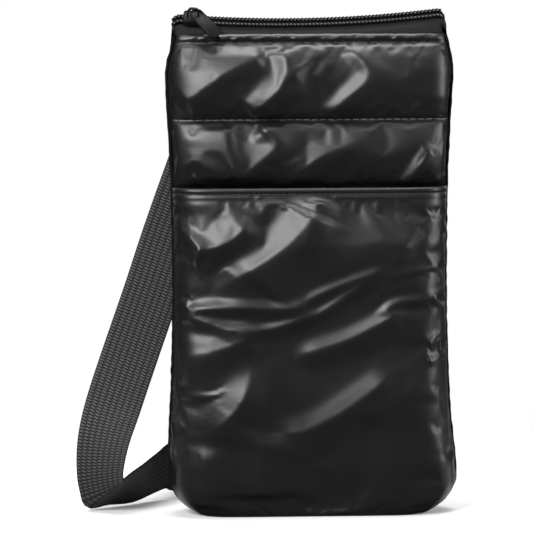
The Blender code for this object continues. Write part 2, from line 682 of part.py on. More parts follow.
def smooth_route(points, step):
    """Points on a smooth curve through the route's own points, about a step apart."""
    points = [np.array(point, dtype=float) for point in points]
    before = [2 * points[0] - points[1]] + points[:-1]
    after = points[1:] + [2 * points[-1] - points[-2]]
    route = []
    for index in range(len(points) - 1):
        start, end = points[index], points[index + 1]
        leave = (end - before[index]) / 2
        arrive = (after[index + 1] - start) / 2
        count = max(1, round(float(np.linalg.norm(end[:3] - start[:3])) / step))
        for share in np.linspace(0, 1, count, endpoint=False):
            square = share * share
            cube = square * share
            route.append((2 * cube - 3 * square + 1) * start + (cube - 2 * square + share) * leave
                         + (3 * square - 2 * cube) * end + (cube - square) * arrive)
    route.append(points[-1])
    return route


def band_sections(route, widths, width, thickness):
    """Flat sections along a route, each square to it, with its width along a chosen direction."""
    spots = [Vector(point) for point in route]
    sections = []
    for index, spot in enumerate(spots):
        ahead = spots[min(index + 1, len(spots) - 1)] - spots[max(index - 1, 0)]
        ahead.normalize()
        wide = Vector(widths[index])
        wide = (wide - wide.dot(ahead) * ahead).normalized()
        thick = ahead.cross(wide)
        sections.append([spot + a * width / 2 * wide + b * thickness / 2 * thick
                         for a, b in ((-1, -1), (1, -1), (1, 1), (-1, 1))])
    return sections


def half_turn(centre_y, centre_z, radius, start, count):
    """Half a circle in the plane of depth and height, from the angle start, against the clock."""
    angles = [start + pi * step / count for step in range(count + 1)]
    return [(centre_y + radius * cos(angle), centre_z + radius * sin(angle)) for angle in angles]


# The strap's own route points, from the sewn end up to the ring and down again
# (x, y, z) and the direction of the webbing's width (x, y, z)
RIGHT_FALL = [
    ((0.0325, 0.0248, 0.0780), (1.00, 0.00, -0.05)),
    ((0.0290, 0.0270, 0.0600), (0.97, 0.05, -0.25)),
    ((0.0200, 0.0305, 0.0410), (0.84, 0.08, -0.53)),
    ((0.0060, 0.0335, 0.0255), (0.60, 0.08, -0.79)),
    ((-0.0120, 0.0352, 0.0157), (0.28, 0.04, -0.96)),
    ((-0.0290, RUN_FIRST_Y, 0.0130), (0.06, 0.00, -1.00)),
]
LEFT_RISE = [
    ((-0.0555, 0.0720, 0.0135), (0.00, 0.10, -1.00)),
    ((-0.0588, 0.0600, 0.0142), (0.00, 0.00, -1.00)),
    ((-0.0606, 0.0480, 0.0152), (-0.03, 0.10, -0.99)),
    ((-0.0612, 0.0355, 0.0170), (0.05, 0.45, -0.89)),
    ((-0.0678, 0.0288, 0.0143), (-0.12, 0.50, -0.86)),
    ((-0.0752, 0.0195, 0.0115), (-0.26, 0.50, -0.83)),
    ((-0.0832, 0.0103, 0.0100), (-0.48, 0.52, -0.71)),
    ((-0.0906, 0.0028, 0.0082), (-0.68, 0.48, -0.56)),
    ((-0.0927, 0.0030, 0.0129), (-0.78, 0.52, -0.32)),
    ((-0.0930, 0.0052, 0.0209), (-0.85, 0.47, -0.14)),
    ((-0.0911, 0.0090, 0.0335), (-0.93, 0.34, 0.06)),
    ((-0.0862, 0.0134, 0.0495), (-0.96, 0.10, 0.18)),
    ((-0.0785, 0.0170, 0.0717), (-0.95, 0.03, 0.27)),
    ((-0.0702, 0.0195, 0.0950), (-0.95, 0.00, 0.29)),
    ((-0.0614, 0.0215, 0.1210), (-0.94, 0.00, 0.32)),
    ((-0.0518, 0.0215, 0.1475), (-0.93, 0.00, 0.34)),
    ((-0.0430, 0.0208, 0.1710), (-0.95, 0.00, 0.30)),
    ((-0.0375, 0.0200, 0.1890), (-0.98, 0.00, 0.18)),
    ((-0.0345, 0.0178, 0.1985), (-1.00, 0.00, 0.08)),
    ((-0.0334, 0.0125, 0.2055), (-1.00, 0.00, 0.03)),
    ((-ANCHOR_X, 0.0078, 0.2082), (-1.00, 0.00, 0.00)),
    ((-ANCHOR_X, 0.0070, ANCHOR_TOP_Z), (-1.00, 0.00, 0.00)),
]


def strap_route():
    """The whole strap: its doubled part at the ring, the runs behind the bag, and the left rise."""
    across = (1.0, 0.0, 0.0)
    near = RING_Y - TURN_RADIUS
    far = RING_Y + TURN_RADIUS
    spots = []
    for z in np.linspace(STRAP_END_Z, RING_LOW_Z, DOUBLED_PARTS + 1)[:-1]:
        spots.append(((ANCHOR_X, near, z), across))
    for y, z in reversed(half_turn(RING_Y, RING_LOW_Z, TURN_RADIUS, 0, RING_TURN_PARTS)):
        spots.append(((ANCHOR_X, y, z), across))
    for z in np.linspace(RING_LOW_Z, STRAP_END_Z, DOUBLED_PARTS + 1)[1:]:
        spots.append(((ANCHOR_X, far, z), across))

    def add_smooth(route, step):
        joined = [(*place, *wide) for place, wide in route]
        for point in smooth_route(joined, step):
            spots.append((tuple(point[:3]), tuple(point[3:])))
    add_smooth([spots[-1]] + RIGHT_FALL, FALL_STEP)

    upright = (0.0, 0.0, -1.0)
    level = WEBBING_WIDTH / 2 + GAP
    radius = RUN_PITCH / 2
    heading = -1
    for run in range(RUNS):
        y = RUN_FIRST_Y + run * RUN_PITCH
        starts = heading * -RUN_HALF_LENGTH if run else RIGHT_FALL[-1][0][0]
        for share in np.linspace(0, 1, RUN_PARTS + 1)[1:]:
            x = starts + (heading * RUN_HALF_LENGTH - starts) * share
            spots.append(((x, y, level), upright))
        if run < RUNS - 1:
            for turn in range(1, TURN_PARTS):
                angle = pi * turn / TURN_PARTS
                spots.append(((heading * (RUN_HALF_LENGTH + radius * sin(angle)),
                               y + radius - radius * cos(angle), level), upright))
        heading = -heading
    add_smooth([spots[-1]] + LEFT_RISE, RISE_STEP)
    return spots


def make_strap():
    route = []
    for place, wide in strap_route():
        if not route or (Vector(place) - Vector(route[-1][0])).length > GAP:
            route.append((place, wide))
    sections = band_sections([place for place, _ in route], [wide for _, wide in route],
                             WEBBING_WIDTH, WEBBING)
    loft("strap_webbing", sections, WEBBING_CLOTH)
    length = sum((Vector(after[0]) - Vector(before[0])).length for before, after in zip(route, route[1:]))
    print(f"strap webbing length {length:.4f} m over {len(route)} points")


def make_anchor_tab():
    """A short loop of webbing, sewn to the back hem, that holds the ring."""
    top = RING_LOW_Z + RING_HEIGHT
    loop = half_turn(RING_Y, top, TURN_RADIUS, pi, RING_TURN_PARTS)
    inner = [(ANCHOR_HEM_Y, ANCHOR_TOP_Z), (ANCHOR_HEM_Y, ANCHOR_TOP_Z - 2 * WEBBING)]
    layer = WEBBING + GAP
    shoulder_y = (ANCHOR_HEM_Y + RING_Y) / 2
    inner += [(shoulder_y, top + WEBBING_RISE), (RING_Y - TURN_RADIUS, top + WEBBING_RISE / 2)]
    outer = [(RING_Y + TURN_RADIUS, top + WEBBING_RISE / 2),
             (shoulder_y + layer, top + WEBBING_RISE + layer),
             (ANCHOR_HEM_Y + layer + WEBBING, ANCHOR_TOP_Z - WEBBING), (ANCHOR_HEM_Y + layer, ANCHOR_TOP_Z)]
    profile = inner + loop + outer
    places = [(ANCHOR_X, y, z) for y, z in profile]
    sections = band_sections(places, [(1.0, 0.0, 0.0)] * len(places), WEBBING_WIDTH, WEBBING)
    loft("anchor_tab", sections, WEBBING_CLOTH)


def make_ring():
    """A rectangular wire loop between the anchor tab and the strap."""
    half = WEBBING_WIDTH / 2 + RING_WIRE + GAP
    x_axis = Vector((1, 0, 0))
    z_axis = Vector((0, 0, 1))
    points = []
    for hand, up, start in ((1, 1, 0), (-1, 1, pi / 2), (-1, 0, pi), (1, 0, 3 * pi / 2)):
        x = hand * (half - RING_CORNER / 2)
        z = RING_LOW_Z + (RING_HEIGHT - RING_CORNER if up else RING_CORNER)
        centre = Vector((ANCHOR_X + x, RING_Y, z))
        points += rounded_corner(centre, start, RING_CORNER, 3, x_axis, z_axis)
    add_mesh_object("strap_ring", curve_mesh("strap_ring", points, RING_WIRE, cyclic=True), BLACK_METAL)


def make_adjuster():
    """A slide with a centre bar between the strap's two layers and two bars behind them."""
    between = RING_Y
    outside = RING_Y + TURN_RADIUS + WEBBING / 2 + GAP
    half = WEBBING_WIDTH / 2 + GAP
    rail = half + ADJUSTER_RAIL
    tall = ADJUSTER_PITCH + ADJUSTER_BAR_HEIGHT / 2
    low_y = between - ADJUSTER_BAR / 2
    high_y = outside + ADJUSTER_BAR
    middle = ADJUSTER_Z
    body = box_mesh("strap_adjuster", (ANCHOR_X - rail, low_y, middle - tall),
                    (ANCHOR_X - half, high_y, middle + tall))
    parts = [box_mesh("rail_right", (ANCHOR_X + half, low_y, middle - tall),
                      (ANCHOR_X + rail, high_y, middle + tall)),
             box_mesh("centre_bar", (ANCHOR_X - half - ADJUSTER_RAIL / 2, low_y,
                                     middle - ADJUSTER_BAR_HEIGHT / 2),
                      (ANCHOR_X + half + ADJUSTER_RAIL / 2, between + ADJUSTER_BAR / 2,
                       middle + ADJUSTER_BAR_HEIGHT / 2))]
    for name, side in (("upper_bar", 1), ("lower_bar", -1)):
        centre = middle + side * ADJUSTER_PITCH
        parts.append(box_mesh(name, (ANCHOR_X - half - ADJUSTER_RAIL / 2, outside,
                                     centre - ADJUSTER_BAR_HEIGHT / 2),
                              (ANCHOR_X + half + ADJUSTER_RAIL / 2, high_y,
                               centre + ADJUSTER_BAR_HEIGHT / 2)))
    move_to_bag(body)
    body.hide_render = False
    body.display_type = "TEXTURED"
    body.data.materials.append(BLACK_PLASTIC)
    place = Vector((ANCHOR_X, RING_Y, ADJUSTER_Z))
    body.data.transform(Matrix.Translation(-place))
    body.location = place
    join_solids(body, parts)


clear_scene()
make_front()
make_pocket()
make_back()
make_side_seams()
make_base()
make_zip()
make_slider(make_slider_hinge())
make_pull_tab()
make_strap()
make_anchor_tab()
make_ring()
make_adjuster()

travel = zip_angle(SLIDER_END_X) - SLIDER_ANGLE
hinge = zip_matrix(SLIDER_ANGLE) @ Vector((0, 0, PLATE_TOP + TAB_PIVOT_HEIGHT))
axis = zip_matrix(SLIDER_ANGLE).to_3x3() @ Vector((-sin(TAB_YAW), -cos(TAB_YAW), 0))
print("slider turns about", tuple(round(value, 5) for value in ZIP_CENTRE), "by", round(travel * 180 / pi, 3))
print("pull tab hinge at", tuple(round(value, 6) for value in hinge), "axis",
      tuple(round(value, 5) for value in axis))
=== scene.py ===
# %% [markdown]
# A small quilted bag stands upright: coated nylon over wadding, a coil zip, a flat pull tab and a webbing
# strap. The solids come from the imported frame, and this lesson dresses them one piece at a time. Every
# new piece is a surface worked out with numpy, because the folds of cloth are easy to write as a height
# over a flat grid and hard to push into place by hand.

# %% Load the frame
import math

import bpy
import numpy as np
from mathutils import Euler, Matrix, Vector


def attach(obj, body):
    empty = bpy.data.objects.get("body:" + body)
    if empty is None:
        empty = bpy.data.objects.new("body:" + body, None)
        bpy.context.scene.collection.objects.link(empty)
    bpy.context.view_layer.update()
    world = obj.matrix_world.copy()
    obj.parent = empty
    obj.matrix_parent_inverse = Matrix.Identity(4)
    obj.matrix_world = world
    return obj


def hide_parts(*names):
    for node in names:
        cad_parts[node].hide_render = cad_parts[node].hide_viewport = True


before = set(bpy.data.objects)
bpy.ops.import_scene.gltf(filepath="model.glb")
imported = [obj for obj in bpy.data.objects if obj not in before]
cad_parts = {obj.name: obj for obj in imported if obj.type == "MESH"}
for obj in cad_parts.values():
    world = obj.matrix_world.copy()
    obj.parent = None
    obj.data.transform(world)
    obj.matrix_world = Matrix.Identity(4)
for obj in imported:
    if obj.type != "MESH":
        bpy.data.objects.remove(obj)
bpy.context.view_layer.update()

# %% [markdown]
# The photograph was taken from straight ahead with a long lens, a few degrees above the table. A long
# lens far away keeps the sides of the bag almost parallel. The camera comes first, since the strap's
# hidden length is judged by what the camera can see.

# %% Camera
MM = 0.001
VIEW_WIDTH = 234.5 * MM      # what the picture's width takes in, at the bag
VIEW_CENTRE_X = -19.1 * MM
VIEW_CENTRE_Z = 108.9 * MM
CAMERA_DISTANCE = 1.3
CAMERA_RISE = math.radians(4.3)
CAMERA_TURN = math.radians(2.2)    # how far to the left of the bag's front it stands
CAMERA_ROLL = math.radians(0.3)
SENSOR = 36.0                # millimetres, as Blender counts a sensor and a lens

camera_data = bpy.data.cameras.new("camera")
camera_data.sensor_width = SENSOR
camera_data.lens = SENSOR * CAMERA_DISTANCE / VIEW_WIDTH
camera = bpy.data.objects.new("camera", camera_data)
bpy.context.scene.collection.objects.link(camera)
level = CAMERA_DISTANCE * math.cos(CAMERA_RISE)
camera.location = (VIEW_CENTRE_X - level * math.sin(CAMERA_TURN), -level * math.cos(CAMERA_TURN),
                   VIEW_CENTRE_Z + CAMERA_DISTANCE * math.sin(CAMERA_RISE))
turned = Euler((math.pi / 2 - CAMERA_RISE, 0, -CAMERA_TURN)).to_matrix()
camera.rotation_euler = (turned @ Euler((0, 0, -CAMERA_ROLL)).to_matrix()).to_euler()
bpy.context.scene.camera = camera
bpy.context.scene.view_settings.view_transform = "Standard"
print("lens", round(camera_data.lens, 1), "mm")

# %% [markdown]
# Finishes and surroundings are graphs of small shader steps. One helper places a step and fills its
# inputs, each with a plain value or with another step's output. A second one does so for arithmetic.

# %% Shader steps
def fill_inputs(tree, node, inputs):
    """Give a node's inputs, by name or number, a plain value or another node's output."""
    for socket, value in inputs.items():
        if isinstance(value, bpy.types.NodeSocket):
            tree.links.new(value, node.inputs[socket])
        else:
            node.inputs[socket].default_value = value
    return node


def add_step(tree, kind, inputs, **settings):
    """A new node of a kind, with its settings and then its inputs."""
    node = tree.nodes.new("ShaderNode" + kind)
    for setting, value in settings.items():
        setattr(node, setting, value)
    return fill_inputs(tree, node, inputs)


def maths(tree, operation, first, second=0.0, clamp=False):
    """The result of a sum, a product or another operation on two values."""
    step = add_step(tree, "Math", {0: first, 1: second}, operation=operation, use_clamp=clamp)
    return step.outputs["Value"]


def ramp(tree, mask, low, high):
    """A value that runs from low to high with a mask."""
    return add_step(tree, "MapRange", {"Value": mask, "To Min": low, "To Max": high}).outputs["Result"]


def new_finish(name, inputs):
    """A material whose Principled shader has the given inputs."""
    material = bpy.data.materials.new(name)
    material.use_nodes = True
    fill_inputs(material.node_tree, material.node_tree.nodes["Principled BSDF"], inputs)
    return material


def object_place(tree):
    """Where a point lies on the object, in metres."""
    return add_step(tree, "TexCoord", {}).outputs["Object"]


print("shader helpers ready")

# %% [markdown]
# Black coated cloth shows hardly any colour of its own. What the eye reads is the shape of the lamps in
# it, so the lamps are large soft panels. Seen straight, the floor and the air are white, and the floor
# still takes a shadow, because it only turns white where it is lit fully.

# %% Lamps and surroundings
LAMPS = [   # name, place, width, height, watts
    ("key_left", (-0.75, -0.95, 0.85), 0.70, 0.70, 26.0),
    ("fill_right", (1.15, -0.32, 0.42), 0.35, 0.90, 9.0),
    ("overhead", (0.05, 0.10, 1.25), 0.80, 0.60, 13.5),
]
AIM = (0.0, 0.0, 0.11)
AIR_LEVEL = 0.12


def hang_lamp(name, place, width, height, watts):
    """A soft panel of light that faces the bag."""
    lamp = bpy.data.lights.new(name, "AREA")
    lamp.shape = "RECTANGLE"
    lamp.size = width
    lamp.size_y = height
    lamp.energy = watts
    holder = bpy.data.objects.new(name, lamp)
    holder.location = place
    toward = Vector(AIM) - Vector(place)
    holder.rotation_euler = toward.to_track_quat("-Z", "Y").to_euler()
    bpy.context.scene.collection.objects.link(holder)


def background_rays(tree):
    """One for rays that should find the white background: straight from the camera, or off metal or glass."""
    path = add_step(tree, "LightPath", {})
    total = path.outputs["Is Camera Ray"]
    for kind in ("Is Glossy Ray", "Is Transmission Ray"):
        total = maths(tree, "ADD", total, path.outputs[kind], clamp=True)
    return total


def surroundings():
    """White air for the camera and for reflections, and a weak grey light on everything else."""
    world = bpy.data.worlds.new("studio_air")
    bpy.context.scene.world = world
    world.use_nodes = True
    tree = world.node_tree
    white = (1, 1, 1, 1)
    lit = fill_inputs(tree, tree.nodes["Background"], {"Color": white, "Strength": AIR_LEVEL})
    seen = add_step(tree, "Background", {"Color": white, "Strength": 1.0})
    mix = add_step(tree, "MixShader", {"Fac": background_rays(tree), 1: lit.outputs["Background"],
                                       2: seen.outputs["Background"]})
    fill_inputs(tree, tree.nodes["World Output"], {"Surface": mix.outputs["Shader"]})


DARK_CARDS = [   # centre and two half edges of the black cards before the bag and at its sides
    ((0.0, -1.9, 1.0), (3.0, 0, 0), (0, 0, 1.1)),
    ((0.0, -0.965, 0.0005), (3.0, 0, 0), (0, 0.957, 0)),
    ((-1.1, 1.2, 0.0005), (0.9, 0, 0), (0, 1.28, 0)),
    ((1.1, 1.2, 0.0005), (0.9, 0, 0), (0, 1.28, 0)),
    ((-2.0, 0.3, 1.0), (0, 2.2, 0), (0, 0, 1.1)),
    ((2.0, 0.3, 1.0), (0, 2.2, 0), (0, 0, 1.1)),
]


def set_dark_cards():
    """Black cards round the camera, as a photographer sets them. Only reflections find them."""
    points, faces = [], []
    for centre, first, second in np.array(DARK_CARDS):
        faces.append(list(range(len(points), len(points) + 4)))
        points += [centre - first - second, centre + first - second, centre + first + second,
                   centre - first + second]
    mesh = bpy.data.meshes.new("dark_cards")
    mesh.from_pydata([point.tolist() for point in points], [], faces)
    cards = bpy.data.objects.new("dark_cards", mesh)
    bpy.context.scene.collection.objects.link(cards)
    mesh.materials.append(new_finish("black_card", {"Base Color": (0.01, 0.01, 0.01, 1), "Roughness": 1.0,
                                                    "Specular IOR Level": 0.0}))
    for kind in ("camera", "diffuse", "transmission", "shadow"):
        setattr(cards, f"visible_{kind}", False)


for lamp in LAMPS:
    hang_lamp(*lamp)
surroundings()
set_dark_cards()
print("lamps", [name for name, *_ in LAMPS])

# %% [markdown]
# A surface in this lesson is a grid. Two numbers, u and v, run along its sides, and a function gives the
# point for each pair as whole arrays. A closed piece has an outer grid and an inner grid that share their
# border, so it has thickness and no open edge.

# %% Grids to meshes
def put_in_scene(name, points, faces, smooth=True):
    """A mesh object from an array of points and faces given as rows of point numbers."""
    mesh = bpy.data.meshes.new(name)
    mesh.from_pydata(np.asarray(points).tolist(), [], [list(face) for face in faces])
    if smooth:
        mesh.shade_smooth()
    obj = bpy.data.objects.new(name, mesh)
    bpy.context.scene.collection.objects.link(obj)
    return obj


def grid_faces(rows, columns, wrap=False):
    """Faces of a grid of points stored row by row; wrap joins the last column to the first."""
    row = np.arange(rows - 1)[:, None]
    column = np.arange(columns if wrap else columns - 1)[None, :]
    after = (column + 1) % columns
    here = row * columns
    above = here + columns
    return np.stack([here + column, here + after, above + after, above + column], -1).reshape(-1, 4)


def closed_quilt(name, outer, inner):
    """Two grids of points, row by column by three, sewn together round their border."""
    rows, columns, _ = outer.shape
    count = rows * columns
    face = grid_faces(rows, columns)
    index = np.arange(count).reshape(rows, columns)
    border = np.concatenate([index[0, :-1], index[:-1, -1], index[-1, :0:-1], index[:0:-1, 0]])
    following = np.roll(border, -1)
    rim = np.stack([following, border, border + count, following + count], -1)
    faces = np.concatenate([face, face[:, ::-1] + count, rim])
    return put_in_scene(name, np.concatenate([outer.reshape(-1, 3), inner.reshape(-1, 3)]), faces)


def closed_tube(name, rings, ends=True):
    """Rings of points, ring by point by three, with a flat face on each end, or joined into a loop."""
    count, sides, _ = rings.shape
    faces = grid_faces(count, sides, wrap=True).tolist()
    last = (count - 1) * sides
    if ends:
        faces += [list(range(sides))[::-1], list(range(last, last + sides))]
    else:
        faces += [[last + side, last + (side + 1) % sides, (side + 1) % sides, side] for side in range(sides)]
    return put_in_scene(name, rings.reshape(-1, 3), faces)


def smooth_line(points, parts):
    """Points on a smooth curve through a row of points, with so many parts between each two.

    Each stretch is the cubic that leaves and arrives along the chord of the points on either side.
    """
    points = np.asarray(points, float)
    padded = np.concatenate([2 * points[:1] - points[1:2], points, 2 * points[-1:] - points[-2:-1]])
    leave = (padded[2:-1] - padded[:-3]) / 2
    arrive = (padded[3:] - padded[1:-2]) / 2
    t = (np.arange(parts) / parts)[None, :, None]
    start, end = points[:-1, None], points[1:, None]
    leave, arrive = leave[:, None], arrive[:, None]
    curve = ((2 * t**3 - 3 * t**2 + 1) * start + (t**3 - 2 * t**2 + t) * leave
             + (3 * t**2 - 2 * t**3) * end + (t**3 - t**2) * arrive)
    return np.concatenate([curve.reshape(-1, points.shape[1]), points[-1:]])


def unit(vectors):
    """The same directions with length one."""
    return vectors / np.linalg.norm(vectors, axis=-1, keepdims=True)


def full_turn(count):
    """So many angles evenly round a circle."""
    return np.linspace(0, 2 * np.pi, count, endpoint=False)


def squared(wave, power):
    """A wave with its sign kept and its size raised to a power: below 1 a circle becomes a rounded box."""
    return np.sign(wave) * np.abs(wave) ** power


print("helpers ready")

# %% [markdown]
# Cloth, webbing and plastic all need a fine grain and a slightly uneven surface. One node group makes
# both from object coordinates: a mask for uneven gloss and a height for the bump. Each material places it
# with its own scale.

# %% Grain and finishes
def make_grain_group():
    """Inputs: how many grains and blotches to the metre. Outputs: a fine height and a broad, soft mask."""
    group = bpy.data.node_groups.new("fine_grain", "ShaderNodeTree")
    pairs = [("Grains", "Height"), ("Blotches", "Mask")]
    for size, outcome in pairs:
        group.interface.new_socket(size, in_out="INPUT", socket_type="NodeSocketFloat")
        group.interface.new_socket(outcome, in_out="OUTPUT", socket_type="NodeSocketFloat")
    given = group.nodes.new("NodeGroupInput")
    result = group.nodes.new("NodeGroupOutput")
    place = object_place(group)
    for size, outcome in pairs:
        noise = add_step(group, "TexNoise", {"Vector": place, "Scale": given.outputs[size]})
        fill_inputs(group, result, {outcome: noise.outputs["Fac"]})
    return group


GRAIN = make_grain_group()
TINT_SPREAD = 0.2              # how far the colour varies to each side, as a share of it


def black_of(level):
    """A near-black with a trace of blue."""
    return level, level, 1.06 * level, 1


def finish_material(name, level, rough_low, rough_high, grains, blotches, relief, relief_depth, shine=0.5):
    """A near-black finish: gloss that varies with the blotches, and grain as a fine bump, its depth in mm."""
    material = new_finish(name, {"Specular IOR Level": shine})
    tree = material.node_tree
    grain = add_step(tree, "Group", {}, node_tree=GRAIN, name="grain")
    fill_inputs(tree, grain, {"Grains": grains, "Blotches": blotches})
    mask = grain.outputs["Mask"]
    tint = add_step(tree, "Mix", {"Factor": mask, "A": black_of((1 - TINT_SPREAD) * level),
                                  "B": black_of((1 + TINT_SPREAD) * level)}, data_type="RGBA")
    bump = add_step(tree, "Bump", {"Strength": relief, "Distance": relief_depth * MM,
                                   "Height": grain.outputs["Height"]}, name="bump")
    fill_inputs(tree, tree.nodes["Principled BSDF"], {
        "Base Color": tint.outputs["Result"], "Roughness": ramp(tree, mask, rough_low, rough_high),
        "Normal": bump.outputs["Normal"]})
    return material


MATT_SIDES = [(-61.0 * MM, -58.0 * MM, 0.02, 0.5), (60.0 * MM, 62.0 * MM, 1.0, 0.08)]   # from x, to x, shine


def matt_edges(material):
    """Take the shine off near the bag's sides, where the coated cloth is bound. The mask is a ramp over x."""
    tree = material.node_tree
    apart = add_step(tree, "SeparateXYZ", {"Vector": object_place(tree)})
    left, right = [add_step(tree, "MapRange", {
        "Value": apart.outputs["X"], "From Min": start, "From Max": stop, "To Min": low, "To Max": high},
        interpolation_type="SMOOTHSTEP").outputs["Result"] for start, stop, low, high in MATT_SIDES]
    fill_inputs(tree, tree.nodes["Principled BSDF"], {
        "Specular IOR Level": maths(tree, "MULTIPLY", left, right)})


COATED_NYLON = finish_material("black_coated_nylon", 0.007, 0.35, 0.43, 2100, 60, 0.85, 0.05)
matt_edges(COATED_NYLON)
SEAM_TAPE = finish_material("black_seam_tape", 0.005, 0.65, 0.80, 3500, 120, 0.5, 0.08, 0.04)
ZIP_CLOTH = finish_material("black_zip_tape", 0.015, 0.75, 0.92, 2400, 150, 1.0, 0.20, 0.15)
TOOTH_NYLON = finish_material("black_tooth_nylon", 0.005, 0.50, 0.60, 1500, 90, 0.1, 0.02, 0.08)
CHAIN_THREAD = finish_material("black_chain_thread", 0.045, 0.34, 0.46, 5000, 200, 0.2, 0.02)
PAINTED_METAL = finish_material("black_painted_metal", 0.004, 0.50, 0.62, 4000, 200, 0.15, 0.02, 0.12)
MOULDED = finish_material("black_moulded_plastic", 0.016, 0.40, 0.52, 3000, 150, 0.2, 0.03, 0.3)
THREAD = finish_material("dark_sewing_thread", 0.11, 0.32, 0.45, 6000, 300, 0.3, 0.02)


def wear(obj, material, slot, *nodes, body="bag"):
    """Give a piece its finish, the body that it rides on and the solids that it stands for. Its slot is not
    used.
    """
    obj.data.materials.append(material)
    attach(obj, body)
    if nodes:
        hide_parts(*nodes)
    return obj


print("finishes", [m.name for m in bpy.data.materials if m.name.startswith(("black", "dark"))])

# %% [markdown]
# The strap is one long band of ribbed webbing. Its route is a list of points with the direction of its
# width at each, the same as in the solid it stands for. It is carried along as a flat section, so it can
# twist at the floor as real webbing does, and its unseen length is folded to and fro behind the bag.

# %% Route of the strap
WEBBING_WIDTH = 25.0 * MM
WEBBING_THICK = 1.4 * MM
ANCHOR_X = 33.0 * MM
RING_PLACE_Y, RING_PLACE_Z = 22.3 * MM, 188.0 * MM
RING_TURN = 2.1 * MM
DOUBLED_END_Z = 88.0 * MM
RUN_HALF = 50.0 * MM
RUN_PITCH = 10.5 * MM
RUN_FIRST_Y = 36.0 * MM
RUN_COUNT = 5
RUN_Z = 12.8 * MM
DOUBLED_PARTS, RING_PARTS, RUN_PARTS, TURN_PARTS, FREE_PARTS = 32, 12, 30, 12, 5   # points on each stretch
RIGHT_FALL = [   # places in mm and width directions, from the doubled end down to the first run
    ((32.5, 24.8, 78.0), (1.00, 0.00, -0.05)), ((29.0, 27.0, 60.0), (0.97, 0.05, -0.25)),
    ((20.0, 30.5, 41.0), (0.84, 0.08, -0.53)), ((6.0, 33.5, 25.5), (0.60, 0.08, -0.79)),
    ((-12.0, 35.2, 15.7), (0.28, 0.04, -0.96)), ((-29.0, 36.0, 13.0), (0.06, 0.00, -1.00)),
]
LEFT_RISE = [   # the same, from the last run up to where the strap is sewn to the bag
    ((-55.5, 72.0, 13.5), (0.00, 0.10, -1.00)), ((-58.8, 60.0, 14.2), (0.00, 0.00, -1.00)),
    ((-60.6, 48.0, 15.2), (-0.03, 0.10, -0.99)), ((-61.2, 35.5, 17.0), (0.05, 0.45, -0.89)),
    ((-67.8, 28.8, 14.3), (-0.12, 0.50, -0.86)), ((-75.2, 19.5, 11.5), (-0.26, 0.50, -0.83)),
    ((-83.2, 10.3, 10.0), (-0.48, 0.52, -0.71)), ((-90.6, 2.8, 8.2), (-0.68, 0.48, -0.56)),
    ((-92.7, 3.0, 12.9), (-0.78, 0.52, -0.32)), ((-93.0, 5.2, 20.9), (-0.85, 0.47, -0.14)),
    ((-91.1, 9.0, 33.5), (-0.93, 0.34, 0.06)), ((-86.2, 13.4, 49.5), (-0.96, 0.10, 0.18)),
    ((-78.5, 17.0, 71.7), (-0.95, 0.03, 0.27)), ((-70.2, 19.5, 95.0), (-0.95, 0.00, 0.29)),
    ((-61.4, 21.5, 121.0), (-0.94, 0.00, 0.32)), ((-51.8, 21.5, 147.5), (-0.93, 0.00, 0.34)),
    ((-43.0, 20.8, 171.0), (-0.95, 0.00, 0.30)), ((-37.5, 20.0, 189.0), (-0.98, 0.00, 0.18)),
    ((-34.5, 17.8, 198.5), (-1.00, 0.00, 0.08)), ((-33.4, 12.5, 205.5), (-1.00, 0.00, 0.03)),
    ((-33.0, 7.8, 208.2), (-1.00, 0.00, 0.00)), ((-33.0, 7.0, 210.5), (-1.00, 0.00, 0.00)),
]


def carry_on(rows, points):
    """The rows so far and a smooth curve from the last of them through the points."""
    marks = [rows[-1]] + [[*(value * MM for value in place), *wide] for place, wide in points]
    return rows + smooth_line(marks, FREE_PARTS)[1:].tolist()


def strap_route():
    """The strap's middle line and width directions, one row of six numbers for each point."""
    across = [1.0, 0.0, 0.0]
    rows = [[ANCHOR_X, RING_PLACE_Y - RING_TURN, z, *across]
            for z in np.linspace(DOUBLED_END_Z, RING_PLACE_Z, DOUBLED_PARTS + 1)[:-1]]
    for angle in np.linspace(math.pi, 0, RING_PARTS + 1):
        rows.append([ANCHOR_X, RING_PLACE_Y + RING_TURN * math.cos(angle),
                     RING_PLACE_Z + RING_TURN * math.sin(angle), *across])
    rows += [[ANCHOR_X, RING_PLACE_Y + RING_TURN, z, *across]
             for z in np.linspace(RING_PLACE_Z, DOUBLED_END_Z, DOUBLED_PARTS + 1)[1:]]
    rows = carry_on(rows, RIGHT_FALL)
    upright = [0.0, 0.0, -1.0]
    heading = -1
    for run in range(RUN_COUNT):
        y = RUN_FIRST_Y + run * RUN_PITCH
        start = -heading * RUN_HALF if run else RIGHT_FALL[-1][0][0] * MM
        rows += [[start + (heading * RUN_HALF - start) * share, y, RUN_Z, *upright]
                 for share in np.linspace(0, 1, RUN_PARTS + 1)[(1 if run == 0 else 0):]]
        if run < RUN_COUNT - 1:
            rows += [[heading * (RUN_HALF + RUN_PITCH / 2 * math.sin(angle)),
                      y + RUN_PITCH / 2 * (1 - math.cos(angle)), RUN_Z, *upright]
                     for angle in math.pi * np.arange(1, TURN_PARTS) / TURN_PARTS]
        heading = -heading
    return np.array(carry_on(rows, LEFT_RISE))


STRAP_LINE = strap_route()

# %% [markdown]
# Seen close, the webbing has nine raised columns along it, and each is crossed by short slanted picks of
# yarn. The columns are real relief across the band. The picks are finer than the grid, so they are a bump
# and a shade on the band's own map, which is laid in metres along and across it. Near the floor the
# colour is darkened as painted shade.

# %% Shape of the webbing
WEBBING_COLUMNS = 9
COLUMN_RELIEF = 0.16 * MM
WEBBING_STEPS = 54
COLUMN_ROUND, EDGE_SQUARE = 0.7, 14   # below 1 a column is full; the higher, the squarer the band's edge


